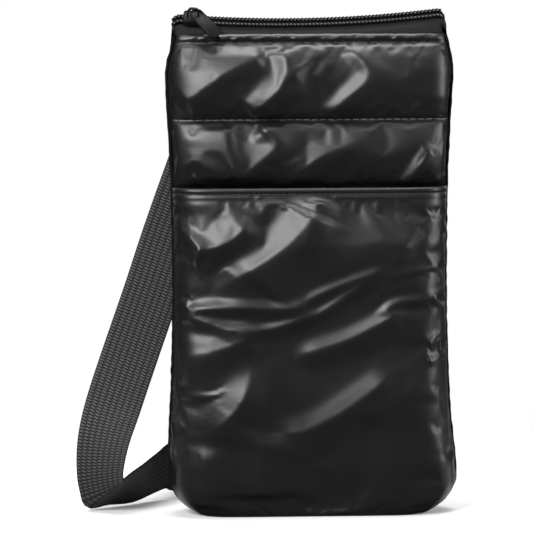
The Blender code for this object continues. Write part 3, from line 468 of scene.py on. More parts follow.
def band_frames(line):
    """Middle points, width directions and thickness directions along a route."""
    middle, wide = line[:, :3], line[:, 3:]
    ahead = unit(np.gradient(middle, axis=0))
    wide = unit(wide - (wide * ahead).sum(1, keepdims=True) * ahead)
    return middle, wide, np.cross(ahead, wide)


def band_rings(line, width, thick, columns, relief, steps):
    """Rings round a flat band. The height over each face is half the thickness plus a row of low arches."""
    middle, wide, up = band_frames(line)
    share = np.linspace(-1, 1, steps)
    arch = np.abs(np.cos(np.pi * columns / 2 * (share + 1) + np.pi / 2)) ** COLUMN_ROUND
    edge = np.sqrt(np.clip(1 - np.abs(share) ** EDGE_SQUARE, 0, 1))
    height = (thick / 2 - relief) * edge + relief * arch * edge
    a = np.concatenate([share, share[::-1]]) * width / 2
    b = np.concatenate([height, -height[::-1]])
    return middle[:, None] + a[None, :, None] * wide[:, None] + b[None, :, None] * up[:, None]


def map_along(obj, line, ring_size, across):
    """A UV map in metres: along the band, and across it."""
    run = np.concatenate([[0], np.cumsum(np.linalg.norm(np.diff(line[:, :3], axis=0), axis=1))])
    along = np.repeat(run, ring_size)
    side = np.tile(across, len(line))
    corners = np.zeros(len(obj.data.loops), int)
    obj.data.loops.foreach_get("vertex_index", corners)
    layer = obj.data.uv_layers.new(name="along_and_across")
    layer.data.foreach_set("uv", np.stack([along[corners], side[corners]], -1).ravel())


print("band tools ready")

# %% [markdown]
# The map gives each point its column and its place along the strap. From these two the finish works out
# the picks, and it darkens their colour near the floor as painted shade.

# %% Finish of the webbing
PICK_LENGTH = 1.32 * MM
PICK_SLANT = -2.4             # how far the wave is turned back across a column, in radians
PICK_BODY = 0.55              # below 1 the picks are full and the gaps between columns narrow
GRAIN_SHARE = 0.35            # the yarn's own grain, as a share of the bump
GAP_LEVEL, PICK_LEVEL = 0.005, 0.085
# Painted shade: below this height the webbing's colour is darkened, down to a share of it.
PAINTED_SHADE_HEIGHT = 42.0 * MM       # below this the webbing is duller, down to a share of its brightness
PAINTED_SHADE_SHARE = 0.28


def webbing_material():
    """Charcoal yarn: in each column a wave of picks, slanted by its distance from the column's left side."""
    material = finish_material("charcoal_ribbed_webbing", 0.017, 0.60, 0.80, 2400, 70, 0.9, 0.22, 0.14)
    tree = material.node_tree
    place = add_step(tree, "UVMap", {}, uv_map="along_and_across")
    apart = add_step(tree, "SeparateXYZ", {"Vector": place.outputs["UV"]})
    column = maths(tree, "MULTIPLY", apart.outputs["Y"], WEBBING_COLUMNS / WEBBING_WIDTH)
    across = maths(tree, "FRACT", maths(tree, "ADD", column, WEBBING_COLUMNS / 2))
    phase = maths(tree, "MULTIPLY", apart.outputs["X"], 2 * math.pi / PICK_LENGTH)
    wave = maths(tree, "SINE", maths(tree, "ADD", phase, maths(tree, "MULTIPLY", across, PICK_SLANT)))
    body = maths(tree, "POWER", maths(tree, "SINE", maths(tree, "MULTIPLY", across, math.pi)), PICK_BODY)
    pick = maths(tree, "MULTIPLY", maths(tree, "MULTIPLY", maths(tree, "ADD", wave, 1.0), 0.5), body)
    grain = maths(tree, "MULTIPLY", tree.nodes["grain"].outputs["Height"], GRAIN_SHARE)
    # Painted shade: the picks' colour is darkened towards the floor by a ramp over height.
    high = add_step(tree, "SeparateXYZ", {"Vector": object_place(tree)}).outputs["Z"]
    unshaded_share = ramp(tree, maths(tree, "MULTIPLY", high, 1 / PAINTED_SHADE_HEIGHT), 0.0, 1.0)
    floor_shade = maths(tree, "ADD", maths(tree, "MULTIPLY", unshaded_share, 1 - PAINTED_SHADE_SHARE), PAINTED_SHADE_SHARE)
    shade = add_step(tree, "Mix", {"Factor": maths(tree, "MULTIPLY", pick, floor_shade), "A": black_of(GAP_LEVEL),
                                   "B": black_of(PICK_LEVEL)}, data_type="RGBA")
    height = maths(tree, "ADD", maths(tree, "MULTIPLY", pick, 0.5), grain)
    fill_inputs(tree, tree.nodes["bump"], {"Height": height})
    fill_inputs(tree, tree.nodes["Principled BSDF"], {"Base Color": shade.outputs["Result"]})
    return material


webbing = wear(closed_tube("strap_webbing_ribbed", band_rings(
    STRAP_LINE, WEBBING_WIDTH, WEBBING_THICK, WEBBING_COLUMNS, COLUMN_RELIEF, WEBBING_STEPS)),
    webbing_material(), "webbing", "strap_webbing")
share = np.linspace(-0.5, 0.5, WEBBING_STEPS) * WEBBING_WIDTH
map_along(webbing, STRAP_LINE, 2 * WEBBING_STEPS, np.concatenate([share, share[::-1]]))
print("webbing faces", len(webbing.data.polygons))

# %% [markdown]
# A quilted panel is two cloths with wadding between them, sewn together along level seams. Wadding pushes
# each channel out like a long pillow, the seams draw the cloth in and gather it, and coated cloth keeps
# sharp creases. All three are heights over the panel: an arch for the wadding, a fading ripple for the
# gathers, and one ridge for every large crease.

# %% Sizes of the panels
BAG_HALF_WIDTH = 63.0 * MM
SHELL_TOP = 211.0 * MM
SHELL_FOOT = 0.6 * MM         # the cloth hides the base's edge
OUTLINE = [   # share of the height, and of the half width there
    (0.0, 0.80), (0.012, 0.865), (0.030, 0.935), (0.058, 0.985), (0.085, 0.998), (0.15, 1.0), (0.28, 0.978),
    (0.45, 0.963), (0.66, 0.968), (0.76, 0.98), (0.83, 0.992), (0.92, 1.0), (0.975, 0.962), (1.0, 0.943),
]
TOPSTITCH_Z = 207.0 * MM
QUILT_SEAM_Z = 173.5 * MM
MOUTH_Z = 144.0 * MM
QUILT_DEPTH = 6.8 * MM
HEM_DEPTH = 4.6 * MM
CHANNEL_PUFF = 5.6 * MM
POCKET_FULL, POCKET_LIP, POCKET_FOOT = 18.6 * MM, 16.0 * MM, 15.4 * MM
POCKET_HEM = 2.6 * MM
ARCH_POWER = 0.65
HEM_ROLL_Z = 209.0 * MM
SHOULDER = 10                # the higher, the squarer a panel's fall to its side seams
SWELLS = [(2.2 * MM, 13 * MM, 18 * MM), (1.3 * MM, 208 * MM, 16 * MM)]   # how far, at what height, reach
OUTLINE_CURVE = smooth_line(OUTLINE, 8)


def half_width(z):
    """Half the bag's width at a height: a smooth curve through the outline's marks."""
    return BAG_HALF_WIDTH * np.interp(z, OUTLINE_CURVE[:, 0] * SHELL_TOP, OUTLINE_CURVE[:, 1])


def swell(z):
    """How far the right side stands out past the outline near its foot and its top: bells over the height."""
    return sum(far * np.exp(-((z - middle) / reach) ** 2) for far, middle, reach in SWELLS)


def arch(z, low, high):
    """The round rise between two seams: 4 t (1 - t) to the power 0.65, and nothing outside them."""
    t = np.clip((z - low) / (high - low), 0, 1)
    return (4 * t * (1 - t)) ** ARCH_POWER


def shoulder(s):
    """One over the panel's middle and a quick round fall to its side seams."""
    return np.sqrt(np.clip(1 - np.abs(s) ** SHOULDER, 0, 1))


print("panel width in mm at the seams", np.round(2 * half_width(np.array([MOUTH_Z, QUILT_SEAM_Z])) / MM, 1))

# %% [markdown]
# A crease in coated cloth has a crest line, an even slope that shows the lamp, and a side in shadow. So a
# fold here is a crest, a height, and how far it reaches on either side. Its marks are listed from left to
# right or from the bottom up, because the slope lies on the left of that direction, where the main lamp
# stands.

# %% Folds, dimples and ripples
def crest_distance(x, z, crest):
    """For each point: signed distance to a line of marks, positive on its left, and how far along it lies."""
    marks = smooth_line(np.array(crest) * MM, 6)
    best = np.full(x.shape, np.inf)
    signed = np.zeros(x.shape)
    along = np.zeros(x.shape)
    steps = len(marks) - 1
    for index, (start, end) in enumerate(zip(marks, marks[1:])):
        run = end - start
        share = np.clip(((x - start[0]) * run[0] + (z - start[1]) * run[1]) / (run @ run), 0, 1)
        dx, dz = x - start[0] - share * run[0], z - start[1] - share * run[1]
        far = np.hypot(dx, dz)
        side = np.sign(run[0] * dz - run[1] * dx)
        nearer = far < best
        best = np.where(nearer, far, best)
        signed = np.where(nearer, side * far, signed)
        along = np.where(nearer, (index + share) / steps, along)
    return signed, along


FOOT_ROUND = 0.14             # k below: how softly a slope meets the cloth
FADE_SHARE = 0.28             # share of a crest over which an end with the number 1 fades
RIPPLE_WAVES, GATHER_WAVES = 14, 7


def fold(x, z, crest, height, lit, shaded, ends):
    """A crease: an even slope as wide as lit on the crest's left, a bell on its right, and faded ends.

    With t the distance in widths, the slope is k log(1 + exp((1 - t) / k)), so that only its foot is rounded.
    """
    signed, along = crest_distance(x, z, crest)
    t = np.clip(signed / (lit * MM), 0, 8)   # past 8 widths nothing of the slope is left
    slope = FOOT_ROUND * np.log1p(np.exp((1 - t) / FOOT_ROUND))
    bell = np.exp(-(signed / (shaded * MM)) ** 2)
    fade = np.clip(along / (FADE_SHARE * ends[0]), 0, 1) * np.clip((1 - along) / (FADE_SHARE * ends[1]), 0, 1)
    fade = fade * fade * (3 - 2 * fade)
    return height * MM * fade * np.where(signed > 0, slope, bell)


def dimple(x, z, spot, depth, wide, tall):
    """A hollow pressed into the cloth: an upright bell, downwards."""
    return -depth * MM * np.exp(-((x / MM - spot[0]) / wide) ** 2 - ((z / MM - spot[1]) / tall) ** 2)


def ripples(x, z, seed, length, height, slant=1.0):
    """Soft unevenness: the sum of slow waves in seeded directions. slant above 1 stretches them sideways."""
    chance = np.random.default_rng(seed)
    total = np.zeros(np.broadcast(x, z).shape)
    for _ in range(RIPPLE_WAVES):
        turn, phase = chance.uniform(0, np.pi), chance.uniform(0, 2 * np.pi)
        stretch = chance.uniform(0.7, 1.6)
        wave = 2 * np.pi / (length * stretch * MM)
        total = total + np.cos(wave * (x * np.cos(turn) / slant + z * np.sin(turn)) + phase)
    return height * MM * total / RIPPLE_WAVES ** 0.5


def gathers(x, z, seam, seed, reach, height, pitch=4.2, lean=0.35):
    """Small pleats that a seam draws into the cloth: uneven waves along it that fade away from it."""
    chance = np.random.default_rng(seed)
    total = np.zeros(np.broadcast(x, z).shape)
    away = np.abs(z - seam)
    for _ in range(GATHER_WAVES):
        wave = 2 * np.pi / (pitch * chance.uniform(0.6, 2.0) * MM)
        total = total + np.cos(wave * (x + lean * (seam - z)) + chance.uniform(0, 2 * np.pi))
    strength = 0.55 + 0.45 * np.cos(x / (17 * MM) + seed)   # stronger and weaker by turns
    fading = np.exp(-away / (reach * MM))
    return height * MM * strength * total / GATHER_WAVES ** 0.5 * fading * np.clip(away / (0.8 * MM), 0, 1)


print("fold tools ready")

# %% [markdown]
# The front has two channels above the pocket. Their creases run up to the topstitch, where the cloth is
# drawn in most. The marks of each crest are places on the bag, in millimetres from its middle and from
# the table.

# %% Folds of the upper front
FRONT_FOLDS = [   # crest marks, height, width of the lit slope, of the shaded side, fade at each end
    ([(-58, 180), (-50, 185), (-43.6, 189.6), (-37.8, 194), (-27.3, 199.8), (-18.5, 203.4)],
     3.8, 13.0, 8.0, (.4, .5)),
    ([(-27, 175.5), (-22, 179), (-16.5, 184), (-12.6, 190), (-10.6, 197), (-12.2, 204.5)],
     3.9, 8.5, 8.5, (.3, .1)),
    ([(-10, 190.5), (-6, 194.6), (0, 199.6), (6, 205)], 0.8, 3.2, 3.0, (.9, .5)),
    ([(7.5, 174.6), (12.2, 179.2), (16.4, 183.4), (21.3, 187.4), (24.6, 191.6), (24.4, 196.5), (20.4, 201.5),
      (16.8, 206)], 2.0, 5.4, 6.5, (.2, .25)),
    ([(2.5, 190), (5.5, 195.5), (8.5, 200)], 0.6, 3.5, 3.0, (.8, .8)),
    ([(23.5, 176), (28, 179.5), (33.5, 183.5)], 0.5, 2.6, 2.4, (.4, 1)),
    ([(44.5, 175.5), (46.2, 178), (47.6, 181)], 0.5, 2.4, 2.2, (.4, 1)),
    ([(-35, 147), (-35.5, 156), (-37, 165), (-37.5, 171)], 2.3, 15.0, 5.5, (.3, .3)),
    ([(-61, 148.5), (-57.6, 152.0), (-50.9, 156.0), (-44.1, 153.0), (-38.3, 149.2), (-33.2, 147.0)],
     1.1, 5.0, 2.6, (.3, .3)),
    ([(-34, 146.8), (-29, 149.8), (-22.2, 155.6), (-17.0, 160.2), (-15.6, 164.2), (-18.5, 168.5),
      (-23.5, 172)], 3.0, 10.5, 7.0, (.3, .4)),
    ([(-12, 146), (-1, 153.5), (9, 160), (20, 164), (34, 165.5)], 1.5, 8.0, 6.5, (.5, 1)),
    ([(40.8, 144.5), (45.6, 150.6), (50.2, 156.6), (53.6, 162.4)], 1.9, 4.6, 4.6, (.15, .8)),
    ([(-46.9, 143.6), (-49.2, 146.2), (-52.4, 150.5)], 1.3, 2.2, 1.3, (.1, .9)),
    ([(53.8, 147.8), (56.4, 147.0), (59.8, 149.4)], 0.9, 1.5, 1.2, (.5, .4)),
]


def folded(x, z, folds):
    """All the folds of a panel added together."""
    total = np.zeros(np.broadcast(x, z).shape)
    for one in folds:
        total = total + fold(x, z, *one)
    return total


WELT_HEIGHT = 0.7 * MM        # the cloth turned in above the topstitch
HEM_ROLL, HEM_PUCKER = 1.1 * MM, 0.46


def front_depth(x, z):
    """Depth of the front cloth: its seams' depth, an arch for each channel, then the creases."""
    base = np.interp(z, [QUILT_SEAM_Z, TOPSTITCH_Z], [QUILT_DEPTH, HEM_DEPTH])
    arches = np.maximum(arch(z, QUILT_SEAM_Z, TOPSTITCH_Z), arch(z, MOUTH_Z, QUILT_SEAM_Z))
    uneven = 1 + 0.5 * ripples(x, z, 11, 5, 1.0) / MM
    welt = WELT_HEIGHT * arch(z, TOPSTITCH_Z, SHELL_TOP + 0.4 * MM) * uneven
    room = np.clip(1.5 * arches, 0, 1) * (z > MOUTH_Z)
    creases = folded(x, z, FRONT_FOLDS) + ripples(x, z, 3, 26, 0.20, 1.4)
    return base + CHANNEL_PUFF * arches + welt + room * creases


def front_pleats(x, z):
    """What the front's two lines of stitches draw in, and the hem's rolled and puckered edge."""
    over = np.clip((z - HEM_ROLL_Z) / (SHELL_TOP - HEM_ROLL_Z), 0, 1)
    pucker = gathers(x, np.ones_like(z), 0.0, 13, 1e9, HEM_PUCKER, pitch=4.6)   # alike at every height
    roll = -HEM_ROLL * over ** 2 + pucker * over * (1.4 - over)
    drawn = gathers(x, z, TOPSTITCH_Z, 5, 3.0, 0.34, lean=0.8) + gathers(x, z, QUILT_SEAM_Z, 7, 2.2, 0.16)
    return drawn + roll


# %% [markdown]
# The pocket is one wide quilted panel over the lower two thirds. Its cloth is larger than the space it is
# sewn into, so long slanting creases run between pinches at its side seams.

# %% Folds of the pocket
POCKET_FOLDS = [   # crest marks, height, width of the lit slope, of the shaded side, fade at each end
    ([(-54, 116), (-49.7, 117.6), (-40.9, 119.4), (-34.3, 122.2), (-30.0, 126.5), (-25.5, 132)],
     3.7, 11.0, 7.5, (.4, .8)),
    ([(-43, 99.5), (-32, 105.6), (-23.5, 110.8), (-14.6, 116.8), (-7.6, 122.6), (-1.8, 130), (1.6, 135.4),
      (3.8, 141)], 3.6, 10.5, 9.0, (.7, .35)),
    ([(-57.5, 110.2), (-53.6, 112.5), (-50.4, 115.6), (-49.8, 118.8), (-52.0, 121.8), (-55.8, 125.4)],
     1.5, 2.6, 3.0, (.5, .5)),
    ([(-62, 94.3), (-56, 92.8), (-52.5, 91.6), (-47, 92.2), (-36.5, 92.9), (-24, 92.8), (-13.2, 92.0),
      (-6, 93.0), (1, 96)], 2.0, 3.6, 4.2, (.06, .5)),
    ([(-4.4, 94.6), (5.7, 99.2), (18.5, 104.2), (27, 107), (34, 109.5)], 1.3, 3.4, 3.4, (.5, 1)),
    ([(-61, 92.0), (-57.6, 88.6), (-51.3, 87.2), (-44.9, 86.2), (-36.5, 83.8), (-28, 82.8), (-19.8, 83.2),
      (-11.4, 85.2), (0, 89.0), (5.7, 91.4), (15.8, 98.0), (24, 102.4), (31, 105.2)],
     1.5, 3.0, 3.6, (.05, .6)),
    ([(31, 105.0), (38.5, 106.4), (48, 108.2), (57, 110)], 0.5, 2.5, 2.0, (.3, .4)),
    ([(-60, 71.5), (-50, 72.5), (-40, 74.5), (-30, 78), (-20, 81.5)], 3.0, 10.0, 9.0, (.2, .9)),
    ([(-8, 118.4), (6, 119.4), (18, 119.8), (30.8, 120.2), (38, 119.0), (46, 115)],
     3.0, 14.0, 14.0, (.8, .6)),
    ([(-10, 70.8), (2, 74), (13, 77.4), (22, 81.2), (30, 85.6), (36.5, 89.0), (43, 90)],
     2.1, 5.4, 6.5, (.6, .9)),
    ([(26, 88.6), (33.4, 93.0), (38.7, 94.7), (46.2, 95.2), (54.5, 97.8), (60, 99)], 0.8, 2.4, 2.6, (.7, .1)),
    ([(53.6, 97.5), (54.6, 94.4), (57.2, 91.8), (61, 92.4)], 1.3, 1.7, 1.5, (.5, .3)),
    ([(50.2, 74.6), (53.6, 77.6), (56.8, 81), (58.5, 88)], 1.2, 2.8, 2.2, (.4, .6)),
    ([(49.5, 68.6), (54, 68.8), (60, 71)], 1.2, 2.2, 1.8, (.6, .3)),
    ([(-55, 35), (-44, 39.5), (-36, 45.5), (-31, 52), (-28, 59), (-26.5, 66), (-26, 74)],
     5.2, 11.0, 11.0, (1.2, 1.9)),
    ([(-62, 54.6), (-52, 54.0), (-43, 54.6), (-37, 57.5)], 0.5, 1.2, 1.2, (.05, .8)),
    ([(-22, 36.6), (-4, 38.8), (9.7, 45.0), (22.4, 53.4), (30, 59.5), (37, 67.5)], 2.4, 8.0, 8.0, (.7, .9)),
    ([(18, 42), (28, 47), (40, 54.0), (53, 62)], 0.7, 5.0, 5.0, (1, .8)),
    ([(-48.5, 4), (-47.8, 18), (-48.5, 34)], 2.0, 7.5, 10.0, (.3, .9)),
    ([(-24, 8), (-24, 24), (-20, 40)], 2.6, 24.0, 14.0, (.4, .9)),
    ([(-22, 97), (-12, 108), (-4, 120), (2, 134)], 2.2, 26.0, 10.0, (.5, .3)),
]
POCKET_DIMPLES = [   # place, depth, width, height
    ((-56.6, 116.6), 2.4, 4.2, 4.0), ((56, 77.0), 0.9, 3.6, 3.0), ((58.6, 94.2), 1.2, 2.2, 1.6),
]


HEM_BAND = 0.40 * MM          # how far the turned hem stands out, and the line under it lies in


def pocket_depth(x, z):
    """Depth of the pocket's cloth: full in the middle, drawn in at its mouth and foot, then its creases."""
    edge = np.interp(z, [SHELL_FOOT, MOUTH_Z], [POCKET_FOOT, POCKET_LIP])
    puff = (POCKET_FULL - edge) * arch(z, SHELL_FOOT, MOUTH_Z)
    room = np.clip((MOUTH_Z - POCKET_HEM - z) / (4 * MM), 0, 1) * np.clip((z - SHELL_FOOT) / (5 * MM), 0, 1)
    creases = folded(x, z, POCKET_FOLDS) + ripples(x, z, 21, 36, 0.28, 1.8)
    for spot, depth, wide, tall in POCKET_DIMPLES:
        creases = creases + dimple(x, z, spot, depth, wide, tall)
    return edge + puff + room * creases


def pocket_pleats(x, z):
    """The turned hem with its line of stitches, and pleats at the mouth and the foot."""
    hem = HEM_BAND * (np.exp(-((z - MOUTH_Z + POCKET_HEM / 2) / (1.0 * MM)) ** 2)
                      - np.exp(-((z - MOUTH_Z + POCKET_HEM) / (0.7 * MM)) ** 2))
    foot = gathers(x, z, SHELL_FOOT, 25, 3.0, 0.30, pitch=9)
    return hem + foot + gathers(x, z, MOUTH_Z - POCKET_HEM, 27, 1.2, 0.06)


# %% [markdown]
# Ridges alone look moulded. So each panel is then treated as what it is: cloth a little larger than its
# frame, held along its seams and pushed out by the wadding. Blender's cloth solver settles it in a few
# steps. How far a point may move is capped, so that the panel stays close to the solid.

# %% Settling the cloth
SETTLE_FRAMES = 24


def settle(name, points, held, grow, pressure, bend, cap):
    """Grid points after the cloth has settled. Its rest shape is larger by grow. A cap limits each move."""
    rows, columns, _ = points.shape
    sheet = put_in_scene(name, points.reshape(-1, 3), grid_faces(rows, columns), smooth=False)
    group = sheet.vertex_groups.new(name="held")
    group.add([int(index) for index in np.flatnonzero(held.reshape(-1))], 1.0, "REPLACE")
    cloth = sheet.modifiers.new("settle", "CLOTH")
    use = cloth.settings
    use.quality = 6
    use.mass = 0.15
    use.vertex_group_mass = "held"
    use.tension_stiffness = use.compression_stiffness = 15
    use.shear_stiffness = 7.5
    use.bending_stiffness = bend
    use.air_damping = 2.0
    use.shrink_min = -grow
    use.use_pressure = True
    use.uniform_pressure_force = pressure
    use.effector_weights.gravity = 0
    cloth.collision_settings.use_collision = False
    cloth.point_cache.frame_end = SETTLE_FRAMES
    for step in range(1, SETTLE_FRAMES + 1):
        bpy.context.scene.frame_set(step)
    settled = np.empty(rows * columns * 3)
    shape = sheet.evaluated_get(bpy.context.evaluated_depsgraph_get()).to_mesh()
    shape.vertices.foreach_get("co", settled)
    bpy.context.scene.frame_set(1)
    mesh = sheet.data
    bpy.data.objects.remove(sheet)
    bpy.data.meshes.remove(mesh)
    move = settled.reshape(points.shape) - points
    far = np.linalg.norm(move, axis=-1, keepdims=True) + 1e-9
    move = move * cap * np.tanh(far / cap) / far
    print(name, "settled: mean move in mm", round(float(np.linalg.norm(move, axis=-1).mean()) / MM, 2))
    return points + move


def refine(grid, parts):
    """A finer grid: smooth curves through its rows, and then through its columns."""
    rows, columns, size = grid.shape
    grid = smooth_line(grid.reshape(rows, columns * size), parts).reshape(-1, columns, size)
    grid = grid.transpose(1, 0, 2)
    grid = smooth_line(grid.reshape(columns, -1), parts).reshape(-1, grid.shape[1], size)
    return grid.transpose(1, 0, 2)


def rows_between(marks, step):
    """Heights that pass through every mark, about a step apart."""
    rows = [marks[0]]
    for low, high in zip(marks, marks[1:]):
        rows += np.linspace(low, high, max(1, round((high - low) / step)) + 1)[1:].tolist()
    return np.array(rows)


print("cloth frames", SETTLE_FRAMES, "run")

# %% [markdown]
# Every panel is laid out on the same kind of grid: s runs from one side seam to the other, and rows run
# up. The outer cloth is placed by the panel's depth, and it falls to the side seam over a round shoulder.
# After it has settled, the pleats of the stitches are added. The inner face lies flat where the lining
# is, and the two are sewn together all round.

# %% Panels
SEAM_PLANE = 1.2 * MM
FRONT_INNER_Y = -3.3 * MM
POCKET_INNER_Y = -11.4 * MM
BACK_INNER_Y = 6.3 * MM
CLOTH_STEP = 1.5 * MM
PANEL_COLUMNS = 88
SIDE_GATHER = 0.32 * MM
LEAST_THICK = 0.4 * MM        # a panel is nowhere thinner than this
INNER_SHARE = 0.995           # the lining's width as a share of the cloth's
PANEL_SKINS = {}             # the settled outer grid of each panel, for its stitches


def make_panel(name, marks, depth, pleats, inset, edge_y, inner_y, side, nodes, cloth, held_at):
    """A closed panel. side is -1 in front of the middle plane and 1 behind it.

    cloth holds what settle takes: how much larger the cloth is, the pressure, the stiffness and the cap.
    """
    rows = rows_between(marks, CLOTH_STEP)
    share = np.linspace(-1, 1, PANEL_COLUMNS + 1)
    s = np.sin(np.pi / 2 * share)[None, :] * np.ones((len(rows), 1))
    z = rows[:, None] * np.ones_like(s)
    x = s * (half_width(z) + swell(z) * (s > 0) - inset)
    bend = shoulder(s)
    pucker = SIDE_GATHER * ripples(0 * z, z, 31 + side, 7, 1.0) / MM * np.abs(s) ** 6
    y = side * (depth(x, z) + pucker) * bend + edge_y * (1 - bend)
    held = np.isclose(z, np.array(held_at)[:, None, None]).any(0)
    held[0] = held[-1] = True
    held[:, 0] = held[:, -1] = True
    flip = 1 if side < 0 else -1
    outer = settle(name + "_sheet", np.stack([x, y, z], -1)[:, ::flip], held, *cloth)[:, ::flip]
    grid = refine(np.concatenate([outer, np.stack([s, x, z], -1)], -1), 2)
    outer, s, x, z = grid[..., :3].copy(), grid[..., 3], grid[..., 4], grid[..., 5]
    outer[..., 1] += side * pleats(x, z) * shoulder(s)
    flat = side * np.minimum(side * inner_y, side * outer[..., 1] - LEAST_THICK)
    inner = np.stack([x * INNER_SHARE, flat, z], -1)
    PANEL_SKINS[name] = outer
    panel = wear(closed_quilt(name, outer[:, ::flip], inner[:, ::flip]), COATED_NYLON, "shell_fabric", *nodes)
    deepest = float(np.abs(outer[..., 1]).max())
    print(name, "faces", len(panel.data.polygons), "deepest in mm", round(deepest / MM, 1))


PANEL_EDGE = 1.1 * MM         # the panels run in under the side seams
make_panel(
    "front_quilt", [SHELL_FOOT, 20 * MM, MOUTH_Z - 12 * MM, MOUTH_Z, QUILT_SEAM_Z, TOPSTITCH_Z, SHELL_TOP],
    front_depth, front_pleats, PANEL_EDGE, SEAM_PLANE - 0.3 * MM, FRONT_INNER_Y, -1,
    ["front_shell", "front_padding_1", "front_padding_2", "front_padding_3", "front_lining"],
    (0.006, 0.6, 2.0, 2.2 * MM), [MOUTH_Z, QUILT_SEAM_Z, TOPSTITCH_Z])
make_panel(
    "pocket_quilt", [SHELL_FOOT, MOUTH_Z - 2 * POCKET_HEM, MOUTH_Z - POCKET_HEM, MOUTH_Z],
    pocket_depth, pocket_pleats, PANEL_EDGE - 0.2 * MM, SEAM_PLANE - 2.2 * MM, POCKET_INNER_Y, -1,
    ["pocket_shell", "pocket_hem", "pocket_padding", "pocket_lining"],
    (0.008, 0.7, 1.6, 2.0 * MM), [MOUTH_Z - POCKET_HEM, MOUTH_Z - 2 * POCKET_HEM])

# %% [markdown]
# Nobody sees the back in the photograph. A bag like this has the same quilting there, so the back repeats
# the channel height of the front down to the base, with gathers at every seam and no large creases.

# %% Back panel
BACK_CHANNELS = 6
BACK_SEAMS = [SHELL_FOOT] + [TOPSTITCH_Z - step * (TOPSTITCH_Z - QUILT_SEAM_Z)
                             for step in range(BACK_CHANNELS - 1, -1, -1)]
BACK_DEPTH, BACK_HEM_DEPTH, BACK_PUFF = 10.2 * MM, 5.8 * MM, 5.4 * MM
BACK_TOP = 212.2 * MM


def back_depth(x, z):
    """Depth of the back cloth: an arch for each channel."""
    base = np.interp(z, [QUILT_SEAM_Z, TOPSTITCH_Z], [BACK_DEPTH, BACK_HEM_DEPTH])
    full = sum(arch(z, low, high) for low, high in zip(BACK_SEAMS, BACK_SEAMS[1:]))
    return base + BACK_PUFF * full + np.clip(full * 1.5, 0, 1) * ripples(x, z, 41, 15, 0.30, 1.5)


def back_pleats(x, z):
    """Pleats drawn in by every seam of the back."""
    return sum(gathers(x, z, seam, 43 + number, 4.0, 0.34) for number, seam in enumerate(BACK_SEAMS[1:]))


make_panel(
    "back_quilt", BACK_SEAMS + [BACK_TOP], back_depth, back_pleats, PANEL_EDGE, SEAM_PLANE, BACK_INNER_Y, 1,
    ["back_shell", "back_lining"] + [f"back_padding_{n}" for n in range(1, BACK_CHANNELS + 1)],
    (0.008, 0.6, 1.0, 2.0 * MM), BACK_SEAMS[1:])

# %% [markdown]
# The side seams are narrow rolled strips between the front and the back. Each follows the outline from
# the base to the top of the hem, with a round section and a little unevenness where the cloth is
# gathered.

# %% Side seams
SEAM_WIDTH, SEAM_DEPTH = 1.8 * MM, 4.6 * MM
SEAM_TOP = 210.4 * MM
SEAM_STEPS = 150
SEAM_SIDES = 14


def make_side_seam(name, hand):
    """A tube along the outline: a flattened round section, set just inside the bag's edge."""
    z = np.linspace(SHELL_FOOT, SEAM_TOP, SEAM_STEPS)
    rough = ripples(0 * z, z, 61 + hand, 6, 0.12)
    turn = full_turn(SEAM_SIDES)[None, :]
    edge = (half_width(z) + swell(z) * (hand > 0))[:, None]
    x = edge - SEAM_WIDTH / 2 + SEAM_WIDTH / 2 * np.cos(turn) + rough[:, None]
    y = SEAM_PLANE + SEAM_DEPTH / 2 * np.sin(turn) + 0 * x
    rings = np.stack([hand * x, y, z[:, None] + 0 * x], -1)
    wear(closed_tube(name + "_rolled", rings if hand < 0 else rings[:, ::-1]), SEAM_TAPE, "seam_tape", name)


make_side_seam("side_seam_left", -1)
make_side_seam("side_seam_right", 1)
print("side seams", SEAM_STEPS, "rings each")

# %% [markdown]
# The zip's chain bows down in the middle, so everything on it is placed by three numbers: how far along a
# big circle that stands on edge above the bag, how far across the chain, and how far out of its face. The
# face leans to the front.

# %% Places on the zip
ZIP_RADIUS = 560 * MM
ZIP_CENTRE = np.array([-10 * MM, 0, 775.6 * MM])
ZIP_HALF = 59.8 * MM
ZIP_DROOP_FROM = 56.0 * MM   # past this the chain's ends are sewn down into the side seams
ZIP_TILT = math.radians(40)
TOOTH_PITCH = 1.65 * MM
TOOTH_WIRE = 0.38 * MM
CORD_RADIUS = 0.42 * MM        # the cord that runs inside each coil
TAPE_THICK = 0.5 * MM
DROOP_DEPTH, DROOP_REACH = 3.4 * MM, 5 * MM
ACROSS = np.array([0, math.cos(ZIP_TILT), math.sin(ZIP_TILT)])
FACING = np.array([0, -math.sin(ZIP_TILT), math.cos(ZIP_TILT)])


def zip_angle(x):
    """How far round the big circle the chain is at a place along the bag."""
    return np.arcsin((x - ZIP_CENTRE[0]) / ZIP_RADIUS)


def on_chain(angle, across, out, sewn=True):
    """World points. At angle a the circle's local point p turns to (-p.z sin a, p.y, p.z cos a)."""
    angle, across, out = np.broadcast_arrays(angle, across, out)
    local = across[..., None] * ACROSS + out[..., None] * FACING + np.array([0, 0, -ZIP_RADIUS])
    x = local[..., 0] * np.cos(angle) - local[..., 2] * np.sin(angle)
    z = local[..., 0] * np.sin(angle) + local[..., 2] * np.cos(angle)
    droop = sewn * np.clip(np.abs(x + ZIP_CENTRE[0]) - ZIP_DROOP_FROM, 0, None) / DROOP_REACH
    return np.stack([x, local[..., 1], z - DROOP_DEPTH * droop ** 2], -1) + ZIP_CENTRE


CHAIN_START, CHAIN_STOP = zip_angle(-ZIP_HALF), zip_angle(ZIP_HALF)
print("chain in degrees", np.round(np.degrees([CHAIN_START, CHAIN_STOP]), 2))

# %% [markdown]
# Each row of teeth is one coil of nylon wire, a flattened helix round the tape's edge, with a filler cord
# in it and a bead of thread over every turn.

